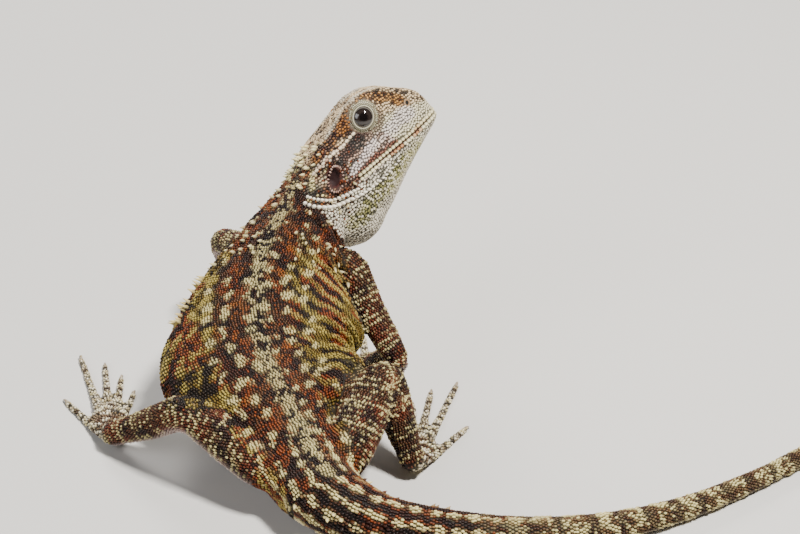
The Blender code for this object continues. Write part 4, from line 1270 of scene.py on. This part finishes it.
# The skin takes the colour of the nearest scale, darkened as painted shade in the gaps between the
# scales.
skin_colours = layered(
    whole["colour"][[hit[1] for hit in found]] * SKIN_PAINTED_SHADE,
    # Painted shade in the ear opening: dark reddish brown at its edge, near black deeper in.
    (mix(srgb(78, 38, 32), srgb(34, 10, 9), step(0.05, 0.3, deep)), step(-0.02, 0.06, deep)),
    # Painted shadow along the crease of the mouth line.
    (srgb(70, 38, 28), step(0.5, 0.25, mouth)),
    # Painted shade on the skin under the lid round the eye.
    (srgb(96, 80, 66), step(4.0, 3.4, from_eye(skin_points))))
sink = EAR_SINK * step(0.0, 0.5, deep) + MOUTH_SINK * step(0.35, 0.12, mouth)
skin_points = skin_points - skin_normals * sink[:, None]
skin = built("skin", skin_points, skin_faces, SKIN_FINISH, skin_colours)
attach(skin, "root")
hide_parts(*FLESH)


# %% [markdown]
# ## Eyes, lids and nostrils
# Each eye is a ball. Round it lies a lid in three folds, set with rings of very small scales.


# %% Eyes
def wheel(axis, count, late=0.0):
    """Turns round an axis, and the spokes first * cos(turn) + second * sin(turn)."""
    first = unit(np.cross(axis, TOP))
    turn = (np.arange(count) + late) * 2 * np.pi / count
    return turn, np.cos(turn)[:, None] * first + np.sin(turn)[:, None] * np.cross(axis, first)


def revolved(profile, axis, centre, around, oval=0.0, lean=0.0):
    """A profile of (radius, height) turned round an axis, spoke by spoke."""
    turn, spoke = wheel(axis, around)
    spoke = spoke * (1 + oval * np.cos(2 * (turn - lean)))[:, None]
    return profile[None, :, :1] * spoke[:, None] + profile[None, :, 1:] * axis + centre


def outward(points, faces, middle):
    """Faces turned so that the volume they close is positive."""
    a, b, c = (points[faces[:, k]] - middle for k in range(3))
    return faces if np.sum(np.cross(a, b) * c) > 0 else faces[:, ::-1]


def ring_body(profile, axis, centre, around, oval, lean):
    """A closed ring: a closed profile turned round an axis."""
    points = revolved(profile, axis, centre, around, oval, lean).reshape(-1, 3)
    return points, outward(points, grid_faces(around, len(profile), closed=True), centre)


def full_body(profile, axis, centre, around, oval=0.0, lean=0.0):
    """A closed body: a profile that starts and ends on the axis, turned round it."""
    rings = revolved(profile[1:-1], axis, centre, around, oval, lean).transpose(1, 0, 2)
    points = np.vstack([rings.reshape(-1, 3), centre + profile[[0, -1], 1:] * axis])
    return points, outward(points, tube_faces(len(profile) - 2, around), centre)


LID = np.array([
    (1.96, 2.02), (2.04, 2.10), (2.14, 2.06), (2.22, 1.94), (2.32, 1.92), (2.44, 1.84),
    (2.52, 1.68), (2.62, 1.64), (2.74, 1.50), (2.82, 1.30), (2.94, 1.20), (3.04, 0.98),
    (3.14, 0.66), (3.20, 0.30), (3.16, -0.20), (2.55, -0.20), (2.50, 0.60), (2.20, 1.30),
    (1.98, 1.72)])
# Share of pale colour on the lid at each radius: a pale inner rim, half dark where the lid meets
# the eye and darkest in the fold just outside the rim as painted shade, part dark over the outer
# lid.
LID_PAINTED_SHADE = ((1.96, 2.02, 2.16, 2.24, 2.32, 3.2), (0.5, 1, 1, 0, 0.4, 0.4))
# Rows of scales on a lid: radius, height over the eye's middle, spacing and tone.
LID_ROWS = ((2.38, 1.88, 0.30, 0.55), (2.70, 1.55, 0.34, 1.0), (3.00, 1.06, 0.42, 0.72))
LID_OVAL, LID_LEAN, LID_AROUND = 0.06, 0.7, 72
# Rings of the eye: colour, and the angles in degrees from which it fades in and out.
EYE_RINGS = ((srgb(40, 32, 28), 17, 20, 38, 30), (srgb(96, 90, 84), 38, 41, 52, 48))
EYE_LINES, EYE_AROUND = 40, 48


def eye_axes(side):
    """The middle of an eye and the direction in which it looks."""
    return in_head(EYE_AT * (1, side, 1))[0], unit(2.65 * side * RIGHT + 0.5 * TOP - 0.3 * FORWARD)


def lid_row(centre, axis, lean, number):
    """Roots of one ring of scales on a lid, each lying outwards."""
    wide, high, size, tone = LID_ROWS[number]
    count = int(2 * np.pi * wide / size)
    turn, spoke = wheel(axis, count, 0.5 * (number % 2))
    facing = unit(spoke * wide + axis * high)
    order = np.arange(count)
    colour = mix(srgb(190, 182, 138), srgb(218, 210, 184), chance(order, number, 17)) * tone
    colour = mix(colour, srgb(130, 104, 70), step(0.82, 0.95, chance(order, number, 18)))
    stretch = (1 + LID_OVAL * np.cos(2 * (turn - lean)))[:, None]
    return {"place": centre + spoke * stretch * wide + axis * high, "normal": facing,
            "lie": unit(spoke - facing * np.sum(spoke * facing, axis=1)[:, None]),
            "pitch": np.full(count, size), "colour": colour, "bake": np.zeros((count, 2))}


lid_beads = []
for side, name in SIDES:
    centre, axis = eye_axes(side)
    points, faces = ring_body(LID, axis, centre, LID_AROUND, LID_OVAL, LID_LEAN * side)
    # The lid's colour: dark brown where the painted shade lies, pale on the inner rim.
    shade = np.tile(np.interp(LID[:, 0], *LID_PAINTED_SHADE), LID_AROUND)
    colour = mix(srgb(58, 46, 36), srgb(188, 182, 156), shade)
    lid = built("lid_" + name, points, faces, SKIN_FINISH, colour)
    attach(lid, "root")
    lid_beads += [lid_row(centre, axis, LID_LEAN * side, k) for k in range(len(LID_ROWS))]
dress("lids", borrowed(joined(lid_beads, KEPT), ("bake",)), BEAD, 0.34, 1.0, 0.98)

tilt = np.linspace(0, np.pi, EYE_LINES)
angle = np.degrees(np.concatenate([np.repeat(tilt[1:-1], EYE_AROUND), [0.0, np.pi]]))
eye_colours = layered(np.tile(srgb(14, 9, 8), (len(angle), 1)),
                      *((paint, step(start, full, angle) * step(end, ebb, angle))
                        for paint, start, full, end, ebb in EYE_RINGS))
for side, name in SIDES:
    centre, axis = eye_axes(side)
    points, faces = full_body(EYE_RADIUS * np.column_stack([np.sin(tilt), np.cos(tilt)]), axis,
                              centre, EYE_AROUND)
    ball = built("ball_eye_" + name, points, faces, EYE_FINISH, eye_colours)
    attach(ball, "root")
    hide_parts("eye_" + name)

RIM = np.array([(0.40, 0.02), (0.46, 0.20), (0.60, 0.28), (0.76, 0.18), (0.86, -0.10),
                (0.60, -0.25), (0.42, -0.15)])
# The pit is a near-black disc: painted shade inside the nostril.
PIT = np.array([(0.0, 0.06), (0.25, 0.05), (0.47, 0.03), (0.47, -0.2), (0.0, -0.2)])
for side, name in SIDES:
    found = skin_tree.find_nearest(Vector(in_head(NOSTRIL_AT * (1, side, 1))[0]))
    place, facing = np.array(found[0]), np.array(found[1])
    for key, body_of, profile, paint in (("nostril_", ring_body, RIM, srgb(150, 122, 92)),
                                         ("nostril_pit_shade_", full_body, PIT, srgb(16, 10, 9))):
        points, faces = body_of(profile, facing, place, 20, 0.12, 0.6)
        piece = built(key + name, points, faces, SKIN_FINISH, np.tile(paint, (len(points), 1)))
        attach(piece, "root")


# %% [markdown]
# ## Claws
# Each toe ends in a claw: a curved cone that leaves the last scales and comes down to the floor.


# %% Claws
CLAW_SIDES, CLAW_RINGS, UP = 8, 7, np.array((0.0, 0.0, 1.0))
CLAW_RADIUS, CLAW_BED = 0.40, 0.5    # at its root, and how far the root lies inside the toe


def claw(name, number):
    """One claw as a closed curved cone."""
    path, heading = toe_rows(name, number)
    share = np.linspace(0, 1, CLAW_RINGS)
    lift = 0.30 * np.sin(np.pi * share * 0.9) - 0.28 * share**2
    core = (path[-1, :3] - heading * CLAW_BED
            + heading * (share * (CLAW_LENGTH + CLAW_BED))[:, None] + UP * lift[:, None])
    turn = np.linspace(0, 2 * np.pi, CLAW_SIDES, endpoint=False)
    size = CLAW_RADIUS * (1 - share) ** 0.75 + 0.02
    ring = np.cos(turn)[:, None] * np.cross(heading, UP) + np.sin(turn)[:, None] * 1.15 * UP
    points = np.vstack([(core[:, None] + ring * size[:, None, None]).reshape(-1, 3), core[[0, -1]]])
    points[:, 2] = np.maximum(points[:, 2], 0.0)
    return points, outward(points, tube_faces(CLAW_RINGS, CLAW_SIDES), core[0])


parts = [claw(*hand) for hand in HANDS]
claws = built("claws", np.vstack([points for points, faces in parts]),
              np.vstack([faces + k * len(points) for k, (points, faces) in enumerate(parts)]),
              CLAW_FINISH)
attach(claws, "root")
print("claws:", len(parts))


# %% [markdown]
# ## Camera, floor and light
# The camera keeps its place in the animal's frame. Soft lamps stand round a pale floor.


# %% Camera and stage
CAMERA_AT = (16.4, -321.6, 260.5)
CAMERA_TILT = 57.0
LENS, SENSOR = 100.0, 36.0
FLOOR_HALF = 2.0
FLOOR_COLOUR, SKY_COLOUR, SKY_STRENGTH = (0.62, 0.60, 0.57), (0.75, 0.78, 0.82, 1.0), 0.09

camera = bpy.data.cameras.new("camera")
camera.lens = LENS
camera.sensor_width = SENSOR
camera.clip_start = 0.01
viewer = linked("camera", camera)
viewer.location = (np.array(CAMERA_AT) + SHIFT) * MM
viewer.rotation_euler = (math.radians(CAMERA_TILT), 0.0, 0.0)
bpy.context.scene.camera = viewer

floor_mesh = bpy.data.meshes.new("floor")
floor_mesh.from_pydata([(x * FLOOR_HALF, y * FLOOR_HALF, 0)
                        for x, y in ((-1, -1), (1, -1), (1, 1), (-1, 1))], [], [(0, 1, 2, 3)])
floor_mesh.materials.append(finish("floor", 0.8, 0.2, FLOOR_COLOUR))
floor = linked("floor", floor_mesh)


def lamp(name, place, size, power, colour):
    """A square soft lamp at a place, turned to the animal."""
    light = bpy.data.lights.new(name, "AREA")
    light.size = size
    light.energy = power
    light.color = colour
    thing = linked(name, light)
    thing.location = place
    away = Vector((0, 0, 0.02)) - Vector(place)
    thing.rotation_euler = away.to_track_quat("-Z", "Y").to_euler()


lamp("key", (0.20, -0.10, 0.62), 0.10, 10.0, (1.0, 0.98, 0.94))
lamp("fill", (-0.50, -0.30, 0.36), 0.35, 2.0, (0.95, 0.97, 1.0))
lamp("rim", (-0.20, 0.50, 0.40), 0.22, 3.0, (1.0, 0.98, 0.95))
world = bpy.data.worlds.new("studio")
world.use_nodes = True
sky = world.node_tree.nodes["Background"]
sky.inputs["Color"].default_value = SKY_COLOUR
sky.inputs["Strength"].default_value = SKY_STRENGTH
bpy.context.scene.world = world
